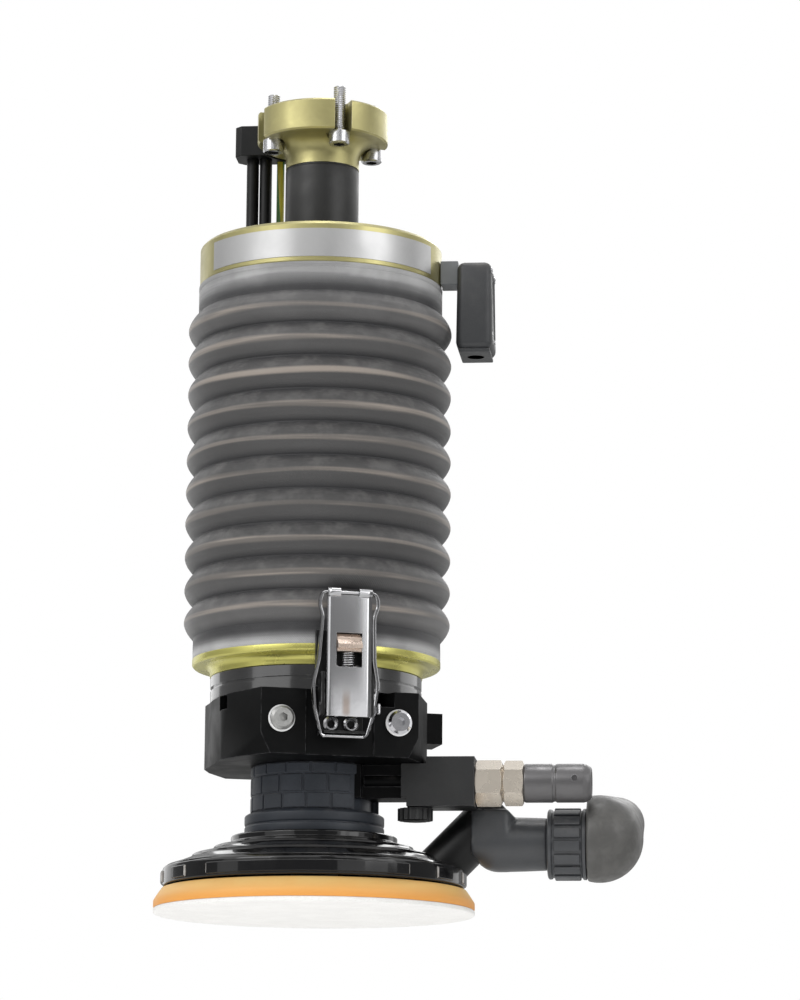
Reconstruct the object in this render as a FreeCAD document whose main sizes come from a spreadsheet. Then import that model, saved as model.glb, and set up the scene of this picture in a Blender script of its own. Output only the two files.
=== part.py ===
"""Active contact flange with a latched random-orbit sander, as separate pieces.

The origin is the centre of the face that meets the robot. +Z points up into the
robot and the flange hangs below it, at full stroke. +X is to the right and +Y is
away from the viewer.
"""
import FreeCAD, Part
import math
import os
import re
import Sketcher

V = FreeCAD.Vector

# Driving sizes in millimetres and degrees
SIZES = {
    # Robot adapter
    "disc_r": 31.5,
    "disc_t": 15.0,
    "disc_bore_r": 10.0,
    "overrun": 1.0,
    "neck_len": 12.6,
    "neck_fillet": 8.0,
    "edge_break": 0.8,
    "bolt_circle_r": 25.0,
    "bolt_angle": 25.0,
    "notch_w": 8.4,
    "bolt_count": 4,
    "thread_r": 3.0,
    "thread_proud": 8.0,
    "bolt_head_r": 5.0,
    "bolt_head_len": 6.0,
    "bolt_key": 5.0,
    "head_gap": 1.2,
    # Spacer column and top cover
    "column_r": 17.7,
    "column_wall": 4.0,
    "column_len": 40.0,
    "cover_r": 58.0,
    "cover_len": 19.9,
    "cover_wall": 4.0,
    "cover_plate_t": 8.0,
    "cover_chamfer": 1.6,
    "band_t": 0.3,
    "band_margin": 2.4,
    "band_angle": 124.0,
    "band_start_angle": -54.0,
    # Bellows
    "bellows_len": 180.1,
    "bellows_wall": 0.9,
    "cuff_stand": 0.3,
    "cuff_len": 13.4,
    "fold_depth": 4.7,
    "fold_crown_depth": 3.3,
    "fold_crown": 5.2,
    "fold_pitch": 15.72,
    "fold_count": 10,
    "clamp_ring_len": 11.0,
    "clamp_ring_wall": 6.35,
    "fit_gap": 0.05,
    # Lower flange and tool ring
    "lip_stand": 0.2,
    "lip_t": 3.4,
    "hub_r": 50.0,
    "hub_len": 4.8,
    "hub_fillet": 3.5,
    "spigot_len": 7.6,
    "spigot_wall": 5.0,
    "well_depth": 6.0,
    "ring_r": 49.7,
    "ring_len": 12.0,
    "ring_bore_r": 30.0,
    "ring_groove_w": 1.6,
    "ring_groove_depth": 1.3,
    "seal_r": 40.0,
    "seal_w": 2.6,
    "seal_t": 1.8,
    # Clamp block
    "block_len": 30.2,
    "block_face": 51.0,
    "block_face_half": 37.0,
    "block_side": 49.0,
    "block_side_half": 20.0,
    "block_seat": 50.0,
    "block_seat_half": 16.0,
    "block_screw_r": 6.25,
    "block_screw_head": 3.2,
    "block_screw_side": 27.5,
    "block_screw_drop": 14.2,
    "block_key": 4.0,
    "block_thread_r": 3.0,
    "block_thread_len": 14.0,
    "washer_r": 6.9,
    "washer_t": 1.2,
    "corner_rise": 9.5,
    "corner_run": 4.5,
    "corner_back": 20.0,
    "lug_reach": 59.0,
    "lug_half": 10.0,
    "lug_top": 291.0,
    "lug_low": 305.5,
    "ring_bolt_count": 4,
    "ring_bolt_angle": 22.0,
    "ring_bolt_circle_r": 45.0,
    "ring_bolt_r": 2.6,
    "ring_bolt_len": 5.0,
    "ring_bolt_room": 4.6,
    "ring_bolt_depth": 7.0,
    # Latches
    "latch_angle": 19.5,
    "lever_w": 20.8,
    "lever_t": 1.5,
    "lever_stand": 7.0,
    "lever_low": 302.3,
    "pivot_stand": 2.0,
    "pivot_low": 297.0,
    "pivot_r": 1.5,
    "bail_low": 245.4,
    "eye_wall": 1.4,
    "eye_len": 6.0,
    "side_flange": 3.6,
    "side_flange_end": 6.0,
    "ear_down": 3.4,
    "ear_up": 4.2,
    "ear_in": 2.6,
    "window_w": 12.0,
    "window_top": 264.0,
    "window_low": 279.7,
    "wire_r": 0.9,
    "wire_bend_r": 1.98,
    "bail_half_top": 15.2,
    "bail_half_mid": 16.2,
    "bail_half_low": 11.0,
    "bail_mid": 298.5,
    "bail_tuck_inset": 3.0,
    "bracket_w": 28.0,
    "bracket_t": 2.0,
    "bracket_stand": 2.5,
    "bracket_top": 262.0,
    "bracket_low": 288.0,
    "cheek_low": 301.5,
    "cheek_t": 1.6,
    "cheek_nose": 3.0,
    "cheek_root": 6.0,
    "pad_half": 9.0,
    "pad_sink": 6.0,
    "bracket_screw_r": 2.6,
    "bracket_screw_head": 1.8,
    "bracket_screw_half": 5.2,
    "bracket_screw_drop": 6.0,
    "bracket_screw_bite": 6.0,
    "keeper_t": 2.0,
    "keeper_w": 21.0,
    "keeper_top": 298.5,
    "ledge_inset": 1.0,
    "ledge_t": 1.3,
    "ledge_side": 1.5,
    "rivet_r": 3.8,
    "rivet_half": 4.65,
    "rivet_head": 2.0,
    "rivet_hole_r": 1.7,
    "rivet_hole_depth": 1.2,
    "rivet_drop": 1.6,
    "catch_h": 8.2,
    "catch_proud": 0.4,
    "thumb_reach": 2.4,
    "thumb_up": 1.2,
    "thumb_h": 4.0,
    "slide_lip": 1.2,
    "slide_reach": 1.6,
    "slide_inset": 1.0,
    "spring_r": 2.2,
    "spring_wire": 0.6,
    "seat_inset": 1.0,
    "seat_t": 1.4,
    "seat_depth": 3.2,
    "gap": 0.3,
    # Air cylinder and guides
    "barrel_r": 20.0,
    "barrel_bore_r": 16.0,
    "barrel_len": 114.0,
    "cap_len": 10.0,
    "piston_len": 9.0,
    "piston_rest": 4.0,
    "piston_seal_w": 2.4,
    "piston_seal_depth": 2.0,
    "rod_r": 6.0,
    "rod_bush_wall": 3.0,
    "cell_r": 17.0,
    "cell_len": 14.0,
    "guide_inset": 20.0,
    "guide_count": 3,
    "guide_angle": 30.0,
    "guide_r": 6.0,
    "guide_bush_wall": 2.0,
    "guide_bush_len": 28.0,
    "guide_tube_wall": 3.0,
    "guide_tube_len": 106.0,
    "guide_plate_t": 8.0,
    "guide_plate_gap": 2.0,
    "guide_top_gap": 38.4,
    "sensor_r": 7.0,
    "sensor_bore_r": 3.3,
    "sensor_rod_r": 2.5,
    "sensor_len": 96.0,
    "sensor_cap": 7.0,
    "sensor_overlap": 30.0,
    "sensor_angle": -30.0,
    "sensor_inset": 18.0,
    "board_w": 30.0,
    "board_t": 1.6,
    "board_len": 52.0,
    "board_inset": 25.0,
    "board_drop": 8.0,
    "hanger_h": 8.0,
    "valve_w": 16.0,
    "valve_len": 42.0,
    "valve_angle": 210.0,
    "valve_inset": 20.0,
    "valve_port_len": 6.0,
    # Side box, air lines and earth lead
    "box_gap": 8.6,
    "box_w": 16.4,
    "box_d": 26.0,
    "box_len": 44.0,
    "box_top": 77.0,
    "box_wall": 1.8,
    "box_round": 4.0,
    "arm_drop": 7.4,
    "arm_sink": 6.0,
    "line_r": 3.0,
    "line_x": -36.6,
    "line_step": 6.4,
    "line_y": 20.0,
    "fitting_len": 11.0,
    "fitting_bore": 5.0,
    "clip_top": 0.6,
    "clip_len": 15.0,
    "clip_depth": 17.0,
    "clip_side": 8.0,
    "clip_bevel": 3.0,
    "clip_lead_side": 4.0,
    "lead_r": 1.9,
    "lead_x": -23.6,
    "lead_y": 25.4,
    "lug_t": 1.4,
    # Sander body
    "housing_r": 27.0,
    "housing_wall": 4.0,
    "housing_top": 304.0,
    "housing_top_t": 4.0,
    "grip_r": 29.4,
    "grip_len": 21.8,
    "collar_r": 32.7,
    "collar_len": 10.6,
    "step_r": 38.9,
    "step_len": 3.3,
    "brim_inset": 4.5,
    "brim_len": 20.3,
    "brim_edge": 8.0,
    "brim_shoulder": 4.5,
    "brim_rise": 2.0,
    "brim_lining": 1.0,
    "skirt_wall": 2.6,
    "liner_wall": 3.0,
    "rotor_r": 14.0,
    "rotor_len": 25.0,
    "spindle_r": 5.0,
    "bearing_len": 5.0,
    "rotor_gap": 1.2,
    "weight_r": 12.0,
    "weight_len": 14.0,
    "weight_drop": 2.0,
    "weight_room": 3.0,
    "orbit": 2.5,
    "pad_stud_r": 4.0,
    "pad_stud_len": 12.0,
    "pad_hub_r": 11.0,
    "pad_gap": 0.7,
    "pad_flare": 4.3,
    "pad_rim": 2.6,
    "pad_r": 75.0,
    "pad_len": 9.4,
    "abrasive_t": 2.2,
    # Air inlet of the sander
    "inlet_y": -10.0,
    "inlet_z": -326.5,
    "valve_neck_x": 45.0,
    "valve_body_x": 54.0,
    "valve_end_x": 76.5,
    "valve_body_h": 23.0,
    "valve_body_d": 21.0,
    "valve_neck_h": 15.0,
    "knob_x": 48.3,
    "knob_r": 8.3,
    "knob_len": 5.4,
    "knob_stem_r": 3.0,
    "knob_stem_len": 6.0,
    "hex_one_len": 12.3,
    "hex_one_af": 21.5,
    "hex_gap": 0.9,
    "hex_two_len": 9.1,
    "hex_two_af": 19.0,
    "hex_bore_r": 5.0,
    "hex_neck_r": 8.5,
    "sleeve_r": 9.0,
    "sleeve_len": 31.5,
    "sleeve_bore_r": 5.5,
    "sleeve_edge": 1.0,
    "sleeve_nose": 1.5,
    # Dust outlet
    "dust_y": 8.0,
    "dust_z": -353.0,
    "dust_r": 13.0,
    "dust_wall": 1.8,
    "port_run": 29.0,
    "port_drop": 11.0,
    "tube_stand": 2.5,
    "tube_len": 36.0,
    "cuff_ring_r": 17.0,
    "cuff_ring_len": 18.0,
    "elbow_r": 17.5,
    "dome_r": 20.5,
    "dome_ahead": 5.6,
    "dome_shift": 4.0,
    "dome_angle": 45.0,
    "dome_wall": 2.8,
    "outlet_r": 12.6,
    "outlet_bore_r": 9.8,
    "outlet_len": 42.0,
    "outlet_angle": 20.0,
    "socket_r": 11.0,
    "socket_len": 18.0,
}

# Heights and places that follow from the sizes
PLACES = {
    "disc_z": "-disc_t",
    "neck_z": "disc_z - neck_len",
    "cover_z": "neck_z - column_len",
    "cover_in_z": "cover_z - cover_plate_t",
    "cover_low_z": "cover_z - cover_len",
    "bellows_low_z": "cover_low_z - bellows_len",
    "cuff_r": "cover_r + cuff_stand",
    "fold_peak_r": "cuff_r + fold_depth",
    "fold_crown_r": "cuff_r + fold_crown_depth",
    "lip_r": "cuff_r + lip_stand",
    "first_peak_z": "cover_low_z - cuff_len - fold_pitch / 2",
    "spigot_r": "cuff_r - bellows_wall - fit_gap",
    "lip_z": "bellows_low_z",
    "lip_low_z": "lip_z - lip_t",
    "hub_low_z": "lip_low_z - hub_len",
    "well_z": "lip_z + spigot_len - well_depth - hub_len",
    "ring_low_z": "hub_low_z - ring_len",
    "block_low_z": "ring_low_z - block_len",
    "plate_low_z": "cover_in_z - guide_plate_t",
    "barrel_low_z": "cover_in_z - barrel_len",
    "cap_low_z": "barrel_low_z - cap_len",
    "piston_z": "barrel_low_z + piston_rest + piston_len",
    "cell_z": "well_z + cell_len",
    "guide_circle_r": "cover_r - guide_inset",
    "guide_plate_r": "cover_r - cover_wall - guide_plate_gap",
    "sensor_circle_r": "cover_r - sensor_inset",
    "valve_circle_r": "cover_r - valve_inset",
    "board_y": "cover_r - board_inset",
    "guide_top_z": "cover_in_z - guide_top_gap",
    "guide_low_z": "cover_in_z - guide_tube_len",
    "sensor_low_z": "plate_low_z - sensor_len",
    "grip_low_z": "block_low_z - grip_len",
    "collar_low_z": "grip_low_z - collar_len",
    "step_z": "collar_low_z - step_len",
    "brim_low_z": "collar_low_z - step_len - brim_len",
    "brim_top_z": "brim_low_z + brim_edge",
    "brim_r": "pad_r - brim_inset",
    "brim_shoulder_r": "brim_r - brim_shoulder",
    "brim_bore_r": "weight_r + orbit + weight_room",
    "pad_z": "brim_low_z - pad_gap",
    "pad_low_z": "pad_z - pad_len",
    "pad_top_r": "pad_r - pad_flare",
    "housing_in_z": "-housing_top - housing_top_t",
    "bearing_z": "housing_in_z - gap",
    "rotor_z": "bearing_z - bearing_len - rotor_gap",
    "rotor_low_z": "rotor_z - rotor_len",
    "weight_z": "collar_low_z - weight_drop",
    "weight_low_z": "weight_z - weight_len",
    "bracket_face": "lip_r + bracket_stand",
    "lever_face": "bracket_face + lever_stand",
    "pivot_face": "bracket_face + pivot_stand",
    "bail_tuck": "bracket_face - bail_tuck_inset",
    "ledge_reach": "bracket_face - ledge_inset",
    "lever_back": "lever_face - lever_t",
    "lever_mid": "lever_face - lever_t / 2",
    "ledge_low": "rivet_low + ledge_t",
    "rivet_low": "keeper_top + rivet_drop + 2 * rivet_r",
    "bail_foot": "ledge_low + gap + wire_r",
    "pad_top": "hub_fillet + gap - lip_low_z",
    "catch_top": "window_top + gap",
    "catch_low": "catch_top + catch_h",
    "box_x": "cover_r + box_gap",
    "fitting_z": "cover_z + fitting_len",
    "hex_x": "valve_end_x + hex_one_len",
    "hex_two_x": "hex_x + hex_gap",
    "sleeve_x": "hex_two_x + hex_two_len",
    "tube_x": "brim_r + tube_stand",
    "port_x": "tube_x - port_run",
    "cuff_ring_x": "tube_x + tube_len",
    "elbow_x": "cuff_ring_x + cuff_ring_len + gap",
    "outlet_x": "elbow_x + outlet_r + gap",
}

doc = FreeCAD.newDocument("active_contact_flange")
sheet = doc.addObject("Spreadsheet::Sheet", "dims")
for row, (alias, number) in enumerate(SIZES.items(), start=1):
    sheet.set(f"A{row}", str(number))
    sheet.setAlias(f"A{row}", alias)
doc.recompute()

SAME = 1e-4
WORD = re.compile(r"[A-Za-z_][A-Za-z_0-9]*")
pieces = []


def formula(text):
    """Write out a formula so that every name in it points at the sheet."""
    def swap(match):
        word = match.group(0)
        if word in SIZES:
            return "dims." + word
        if word in PLACES:
            return "(" + formula(PLACES[word]) + ")"
        return word
    return WORD.sub(swap, str(text))


def size(text):
    """The number that a formula gives now."""
    found = sheet.evalExpression(formula(text))
    return float(getattr(found, "Value", found))


def bind(obj, prop, text):
    obj.setExpression(prop, formula(text))


def place(obj, x="0", y="0", z="0", axis=None, turn="0"):
    """Bind where a piece stands, and its turn about one axis."""
    if axis is not None:
        obj.Placement = FreeCAD.Placement(V(), FreeCAD.Rotation(V(*axis), size(turn)))
        bind(obj, "Placement.Rotation.Angle", turn)
    for letter, text in zip("xyz", (x, y, z)):
        bind(obj, f"Placement.Base.{letter}", text)
    return obj


def finish(obj, label):
    """Give a sub-part its own name and keep it for writing."""
    obj.Label = label
    pieces.append(obj)
    return obj


def block(name, low, high):
    """A box from one corner to the other, in formulas."""
    obj = doc.addObject("Part::Box", name)
    for prop, a, b in zip(("Length", "Width", "Height"), low, high):
        bind(obj, prop, f"({b}) - ({a})")
    return place(obj, *low)


def rod(name, radius, x, y, z, length, along="z"):
    """A round bar that starts at a point and runs along +X, +Y or +Z."""
    obj = doc.addObject("Part::Cylinder", name)
    bind(obj, "Radius", radius)
    bind(obj, "Height", length)
    turns = {"z": (None, "0"), "x": ((0, 1, 0), "90"), "y": ((1, 0, 0), "-90")}
    axis, turn = turns[along]
    return place(obj, x, y, z, axis, turn)


def hexagon(name, across_flats, x, y, z, length, along="z"):
    obj = doc.addObject("Part::Prism", name)
    obj.Polygon = 6
    bind(obj, "Circumradius", f"({across_flats}) / 2 / cos(30)")
    bind(obj, "Height", length)
    turns = {"z": (None, "0"), "x": ((0, 1, 0), "90"), "y": ((1, 0, 0), "-90")}
    axis, turn = turns[along]
    return place(obj, x, y, z, axis, turn)


def cut(name, base, tools):
    tool = tools[0]
    if len(tools) > 1:
        tool = fuse(name + "_tool", tools)
    obj = doc.addObject("Part::Cut", name)
    obj.Base = base
    obj.Tool = tool
    return obj


def fuse(name, parts):
    obj = doc.addObject("Part::MultiFuse", name)
    obj.Shapes = parts
    return obj


def group(name, parts):
    """Separate solids of one kind, kept as one sub-part."""
    obj = doc.addObject("Part::Compound", name)
    obj.Links = parts
    return obj


def sketch_on(body, name, role, outline):
    """A closed outline of straight lines, its corners bound to formulas."""
    sketch = body.newObject("Sketcher::SketchObject", name)
    plane = [f for f in body.Origin.OriginFeatures if f.Role == role][0]
    sketch.AttachmentSupport = [(plane, "")]
    sketch.MapMode = "FlatFace"
    corners = [V(size(a), size(b), 0) for a, b in outline]
    count = len(corners)
    for i in range(count):
        sketch.addGeometry(Part.LineSegment(corners[i], corners[(i + 1) % count]), False)
    for i in range(count):
        sketch.addConstraint(Sketcher.Constraint("Coincident", i, 2, (i + 1) % count, 1))
    for i, (across, up) in enumerate(outline):
        for kind, text, number in (("DistanceX", across, corners[i].x), ("DistanceY", up, corners[i].y)):
            row = sketch.addConstraint(Sketcher.Constraint(kind, -1, 1, i, 1, number))
            bind(sketch, f"Constraints[{row}]", text)
    return sketch


def turned(name, outline, turn=None):
    """A piece turned about Z. The outline is (radius, height) formulas."""
    body = doc.addObject("PartDesign::Body", name)
    sketch = sketch_on(body, name + "_outline", "XZ_Plane", outline)
    feature = body.newObject("PartDesign::Revolution", name + "_turned")
    feature.Profile = sketch
    feature.ReferenceAxis = (sketch, ["V_Axis"])
    feature.Angle = 360
    if turn is not None:
        bind(feature, "Angle", turn)
    return body


def tube(name, outer, inner, low, high):
    return turned(name, [(inner, low), (outer, low), (outer, high), (inner, high)])


def prism(name, outline, low, high):
    """A flat outline (x, y) drawn up from one height to another."""
    body = doc.addObject("PartDesign::Body", name)
    sketch = sketch_on(body, name + "_outline", "XY_Plane", outline)
    feature = body.newObject("PartDesign::Pad", name + "_pad")
    feature.Profile = sketch
    bind(feature, "Length", f"({high}) - ({low})")
    return place(body, z=low)


def ease(body, kind, amount, spots):
    """Round ("Fillet") or bevel ("Chamfer") the round edges at (radius, height)."""
    doc.recompute()
    base = body.Tip
    names = []
    for radius, height in spots:
        for i, edge in enumerate(base.Shape.Edges, start=1):
            if not isinstance(edge.Curve, Part.Circle):
                continue
            off_r = abs(edge.Curve.Radius - size(radius))
            off_z = abs(edge.Curve.Center.z - size(height))
            if max(off_r, off_z) < SAME:
                names.append(f"Edge{i}")
    if not names:
        raise RuntimeError(f"no edge to ease on {body.Label}")
    feature = body.newObject(f"PartDesign::{kind}", f"{body.Name}_{kind.lower()}")
    feature.Base = (base, names)
    bind(feature, "Radius" if kind == "Fillet" else "Size", amount)
    return body


def on_circle(radius, angle):
    """x and y at a radius, the angle taken from the front towards +X."""
    return f"({radius}) * sin({angle})", f"-({radius}) * cos({angle})"


def cap_screw(name, thread_r, thread_len, head_r, head_len, key):
    """A socket screw, head down, its seat at height 0."""
    shank = rod(name + "_shank", thread_r, "0", "0", "0", thread_len)
    head = rod(name + "_head", head_r, "0", "0", f"-({head_len})", head_len)
    socket = hexagon(name + "_socket", key, "0", "0", f"-({head_len})", f"({head_len}) / 2")
    return cut(name, fuse(name + "_blank", [shank, head]), [socket])


def sweep_round(path_points, bend, radius):
    """A round bar along straight runs joined by tangent arcs."""
    edges = []
    last = path_points[0]
    for before, corner, after in zip(path_points, path_points[1:], path_points[2:]):
        into = (corner - before).normalize()
        out = (after - corner).normalize()
        half = into.getAngle(out) / 2
        step = bend * math.tan(half)
        start = corner - into * step
        end = corner + out * step
        to_centre = (out - into).normalize()
        middle = corner + to_centre * (bend / math.cos(half) - bend)
        edges.append(Part.LineSegment(last, start).toShape())
        edges.append(Part.Arc(start, middle, end).toShape())
        last = end
    edges.append(Part.LineSegment(last, path_points[-1]).toShape())
    path = Part.Wire(edges)
    direction = (path_points[1] - path_points[0]).normalize()
    section = Part.Wire([Part.makeCircle(radius, path_points[0], direction)])
    return path.makePipeShell([section], True, False)


# Robot adapter: disc with four screw notches open to the rim
adapter_body = turned("adapter_body", [
    ("disc_bore_r", "neck_z"), ("column_r", "neck_z"), ("column_r", "disc_z"),
    ("disc_r", "disc_z"), ("disc_r", "0"), ("disc_bore_r", "0")])
ease(adapter_body, "Fillet", "neck_fillet", [("column_r", "disc_z")])
ease(adapter_body, "Chamfer", "edge_break", [("disc_r", "disc_z"), ("disc_r", "0")])
notch_tools = []
adapter_bolts = []
for i in range(int(size("bolt_count"))):
    angle = f"bolt_angle + {i} * 360 / bolt_count"
    slot = block(f"notch_{i}", ("-notch_w / 2", "-disc_r - overrun", "disc_z - overrun"),
                 ("notch_w / 2", "-bolt_circle_r", "overrun"))
    slot_end = rod(f"notch_end_{i}", "notch_w / 2", "0", "-bolt_circle_r", "disc_z - overrun",
                   "disc_t + 2 * overrun")
    seat = rod(f"notch_seat_{i}", "bolt_head_r + head_gap", "0", "-bolt_circle_r", "neck_z - overrun",
               "neck_len + overrun")
    notch = fuse(f"notch_tool_{i}", [slot, slot_end, seat])
    notch_tools.append(place(notch, axis=(0, 0, 1), turn=angle))
    bolt = cap_screw(f"adapter_bolt_{i}", "thread_r", "disc_t + thread_proud", "bolt_head_r",
                     "bolt_head_len", "bolt_key")
    bolt_x, bolt_y = on_circle("bolt_circle_r", angle)
    adapter_bolts.append(place(bolt, bolt_x, bolt_y, "disc_z"))
finish(cut("adapter", adapter_body, notch_tools), "robot_adapter")
finish(group("adapter_bolts", adapter_bolts), "adapter_screws")

# Spacer column
finish(tube("column", "column_r", "column_r - column_wall", "cover_z", "neck_z"), "spacer_column")

# Top cover: a shallow cap that carries the bellows and everything inside it
cover = turned("cover", [
    ("0", "cover_in_z"), ("cover_r - cover_wall", "cover_in_z"),
    ("cover_r - cover_wall", "cover_low_z"), ("cover_r", "cover_low_z"),
    ("cover_r", "cover_z"), ("0", "cover_z")])
ease(cover, "Chamfer", "cover_chamfer", [("cover_r", "cover_z")])
ease(cover, "Chamfer", "edge_break / 2", [("cover_r", "cover_low_z")])
finish(cover, "top_cover")
band = turned("band", [
    ("cover_r + fit_gap", "cover_low_z + band_margin"), ("cover_r + band_t", "cover_low_z + band_margin"),
    ("cover_r + band_t", "cover_z - cover_chamfer - band_margin"),
    ("cover_r + fit_gap", "cover_z - cover_chamfer - band_margin")], "band_angle")
finish(place(band, axis=(0, 0, 1), turn="band_start_angle - 90"), "label_band")

# Bellows with its clamp ring inside the upper cuff
finish(tube("clamp_ring", "spigot_r", "spigot_r - clamp_ring_wall", "cover_low_z - clamp_ring_len",
            "cover_low_z"), "upper_bellows_clamp")
outer_line = [("cuff_r", "cover_low_z"), ("cuff_r", "cover_low_z - cuff_len")]
for i in range(int(size("fold_count"))):
    peak = f"first_peak_z - {i} * fold_pitch"
    outer_line.append(("fold_crown_r", f"{peak} + fold_crown / 2"))
    outer_line.append(("fold_peak_r", f"{peak} + fold_crown / 6"))
    outer_line.append(("fold_peak_r", f"{peak} - fold_crown / 6"))
    outer_line.append(("fold_crown_r", f"{peak} - fold_crown / 2"))
    outer_line.append(("cuff_r", f"{peak} - fold_pitch / 2"))
outer_line.append(("cuff_r", "bellows_low_z"))
inner_line = [(f"{radius} - bellows_wall", height) for radius, height in reversed(outer_line)]
finish(turned("bellows_skin", outer_line + inner_line), "bellows")

# Lower flange: lip, hub, spigot inside the lower cuff, and a well for the load cell
flange = turned("flange", [
    ("0", "hub_low_z"), ("hub_r", "hub_low_z"), ("hub_r", "lip_low_z"), ("lip_r", "lip_low_z"),
    ("lip_r", "lip_z"), ("spigot_r", "lip_z"), ("spigot_r", "lip_z + spigot_len"),
    ("spigot_r - spigot_wall", "lip_z + spigot_len"), ("spigot_r - spigot_wall", "well_z"), ("0", "well_z")])
ease(flange, "Fillet", "hub_fillet", [("hub_r", "lip_low_z")])
ease(flange, "Chamfer", "edge_break", [("lip_r", "lip_low_z")])
finish(flange, "lower_flange")

# Tool ring with its middle groove and the seal on its upper face
ring = turned("ring", [
    ("ring_bore_r", "ring_low_z"), ("ring_r", "ring_low_z"),
    ("ring_r", "hub_low_z - ring_len / 2 - ring_groove_w / 2"),
    ("ring_r - ring_groove_depth", "hub_low_z - ring_len / 2 - ring_groove_w / 2"),
    ("ring_r - ring_groove_depth", "hub_low_z - ring_len / 2 + ring_groove_w / 2"),
    ("ring_r", "hub_low_z - ring_len / 2 + ring_groove_w / 2"), ("ring_r", "hub_low_z"),
    ("seal_r + seal_w / 2", "hub_low_z"), ("seal_r + seal_w / 2", "hub_low_z - seal_t"),
    ("seal_r - seal_w / 2", "hub_low_z - seal_t"), ("seal_r - seal_w / 2", "hub_low_z"),
    ("ring_bore_r", "hub_low_z")])
ease(ring, "Chamfer", "edge_break / 2", [("ring_r", "ring_low_z"), ("ring_r", "hub_low_z")])
ring_bolts = []
ring_bolt_holes = []
ring_bolt_slots = []
for i in range(int(size("ring_bolt_count"))):
    angle = f"ring_bolt_angle + {i} * 360 / ring_bolt_count"
    bolt_x, bolt_y = on_circle("ring_bolt_circle_r", f"latch_angle + {angle}")
    bolt = cap_screw(f"ring_bolt_{i}", "ring_bolt_r / 2", "ring_len / 2", "ring_bolt_r", "ring_bolt_len",
                     "ring_bolt_r")
    ring_bolts.append(place(bolt, bolt_x, bolt_y, "ring_low_z"))
    ring_bolt_holes.append(rod(f"ring_bolt_hole_{i}", "ring_bolt_r / 2", bolt_x, bolt_y, "ring_low_z - overrun",
                               "ring_len / 2 + overrun"))
    room = block(f"ring_bolt_room_{i}", ("-ring_bolt_room", "-2 * block_face", "ring_low_z - ring_bolt_depth"),
                 ("ring_bolt_room", "-ring_bolt_circle_r + ring_bolt_room", "ring_low_z + overrun"))
    ring_bolt_slots.append(place(group(f"ring_bolt_slot_{i}", [room]), axis=(0, 0, 1), turn=angle))
bracket_screw_z = "-pad_top - bracket_screw_drop"
for i, turn in enumerate(("latch_angle", "latch_angle + 180")):
    pair = [rod(f"ring_thread_{i}_{side + 1}", "bracket_screw_r / 2", f"{side} * bracket_screw_half",
                "-ring_r - overrun", bracket_screw_z, "bracket_screw_bite + overrun", "y") for side in (-1, 1)]
    ring_bolt_holes.append(place(group(f"ring_thread_pair_{i}", pair), axis=(0, 0, 1), turn=turn))
finish(cut("ring_drilled", ring, ring_bolt_holes), "tool_ring")
ring_seal = tube("ring_seal", "seal_r + seal_w / 2 - fit_gap", "seal_r - seal_w / 2 + fit_gap",
                 "hub_low_z - seal_t", "hub_low_z")


def corner_wedge(name, side, face):
    """The piece cut off a lower corner of the clamp block, between front and side."""
    low = size("block_low_z")
    corner = V(side * size("block_face_half"), face * size("block_face"), low)
    back = V(side * size("block_side"), face * size("block_side_half"), low) - corner
    points = [corner, corner + V(0, 0, size("corner_rise")), corner - V(side * size("corner_run"), 0, 0),
              corner + back.normalize() * size("corner_back")]
    faces = []
    for skip in range(4):
        trio = [p for i, p in enumerate(points) if i != skip]
        faces.append(Part.Face(Part.makePolygon(trio + trio[:1])))
    obj = doc.addObject("Part::Feature", name)
    obj.Shape = Part.Solid(Part.Shell(faces))
    return obj


# Clamp block: eight-sided, with a seat for each keeper and a bore for the sander
half_outline = [("block_face_half", "-block_face"), ("block_side", "-block_side_half"),
                ("block_side", "block_side_half"), ("block_face_half", "block_face")]
block_outline = half_outline + [(f"-{x}", y) for x, y in reversed(half_outline)]
block_prism = prism("block_prism", block_outline, "block_low_z", "ring_low_z")
side_lug = block("side_lug", ("block_side - overrun", "-lug_half", "-lug_low"),
                 ("lug_reach", "lug_half", "-lug_top"))
block_body = fuse("block_body", [block_prism, side_lug])
block_tools = ring_bolt_slots + [rod("block_bore", "housing_r + fit_gap", "0", "0", "block_low_z - overrun",
                                     "-housing_top - block_low_z + overrun")]
for i, (side, face) in enumerate(((-1, -1), (1, -1), (-1, 1), (1, 1))):
    block_tools.append(corner_wedge(f"corner_{i}", side, face))
for i, turn in enumerate(("0", "180")):
    seat = block(f"keeper_seat_{i}", ("-block_seat_half", "-block_face - overrun", "block_low_z - overrun"),
                 ("block_seat_half", "-block_seat", "ring_low_z + overrun"))
    block_tools.append(place(group(f"keeper_seat_turned_{i}", [seat]), axis=(0, 0, 1), turn=turn))
block_screws = []
block_washers = []
for i, (side, face) in enumerate(((-1, -1), (1, -1), (-1, 1), (1, 1))):
    screw_x = f"{side} * block_screw_side"
    screw_y = f"{face} * block_face"
    screw_z = "ring_low_z - block_screw_drop"
    start_y = f"{face} * block_face - {(face + 1) // 2} * block_thread_len"
    block_tools.append(rod(f"block_thread_{i}", "block_thread_r", screw_x, start_y, screw_z,
                           "block_thread_len", "y"))
    screw = cap_screw(f"block_screw_{i}", "block_thread_r", "block_thread_len + washer_t",
                      "block_screw_r", "block_screw_head", "block_key")
    seat_y = f"{face} * (block_face + washer_t)"
    block_screws.append(place(screw, screw_x, seat_y, screw_z, (1, 0, 0), f"{face} * 90"))
    washer_blank = rod(f"washer_blank_{i}", "washer_r", screw_x,
                       f"{face} * block_face - {(1 - face) // 2} * washer_t", screw_z, "washer_t", "y")
    washer_hole = rod(f"washer_hole_{i}", "block_thread_r + fit_gap", screw_x, "-2 * block_face", screw_z,
                      "4 * block_face", "y")
    block_washers.append(cut(f"washer_{i}", washer_blank, [washer_hole]))
clamp = cut("clamp", block_body, block_tools)
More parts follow.
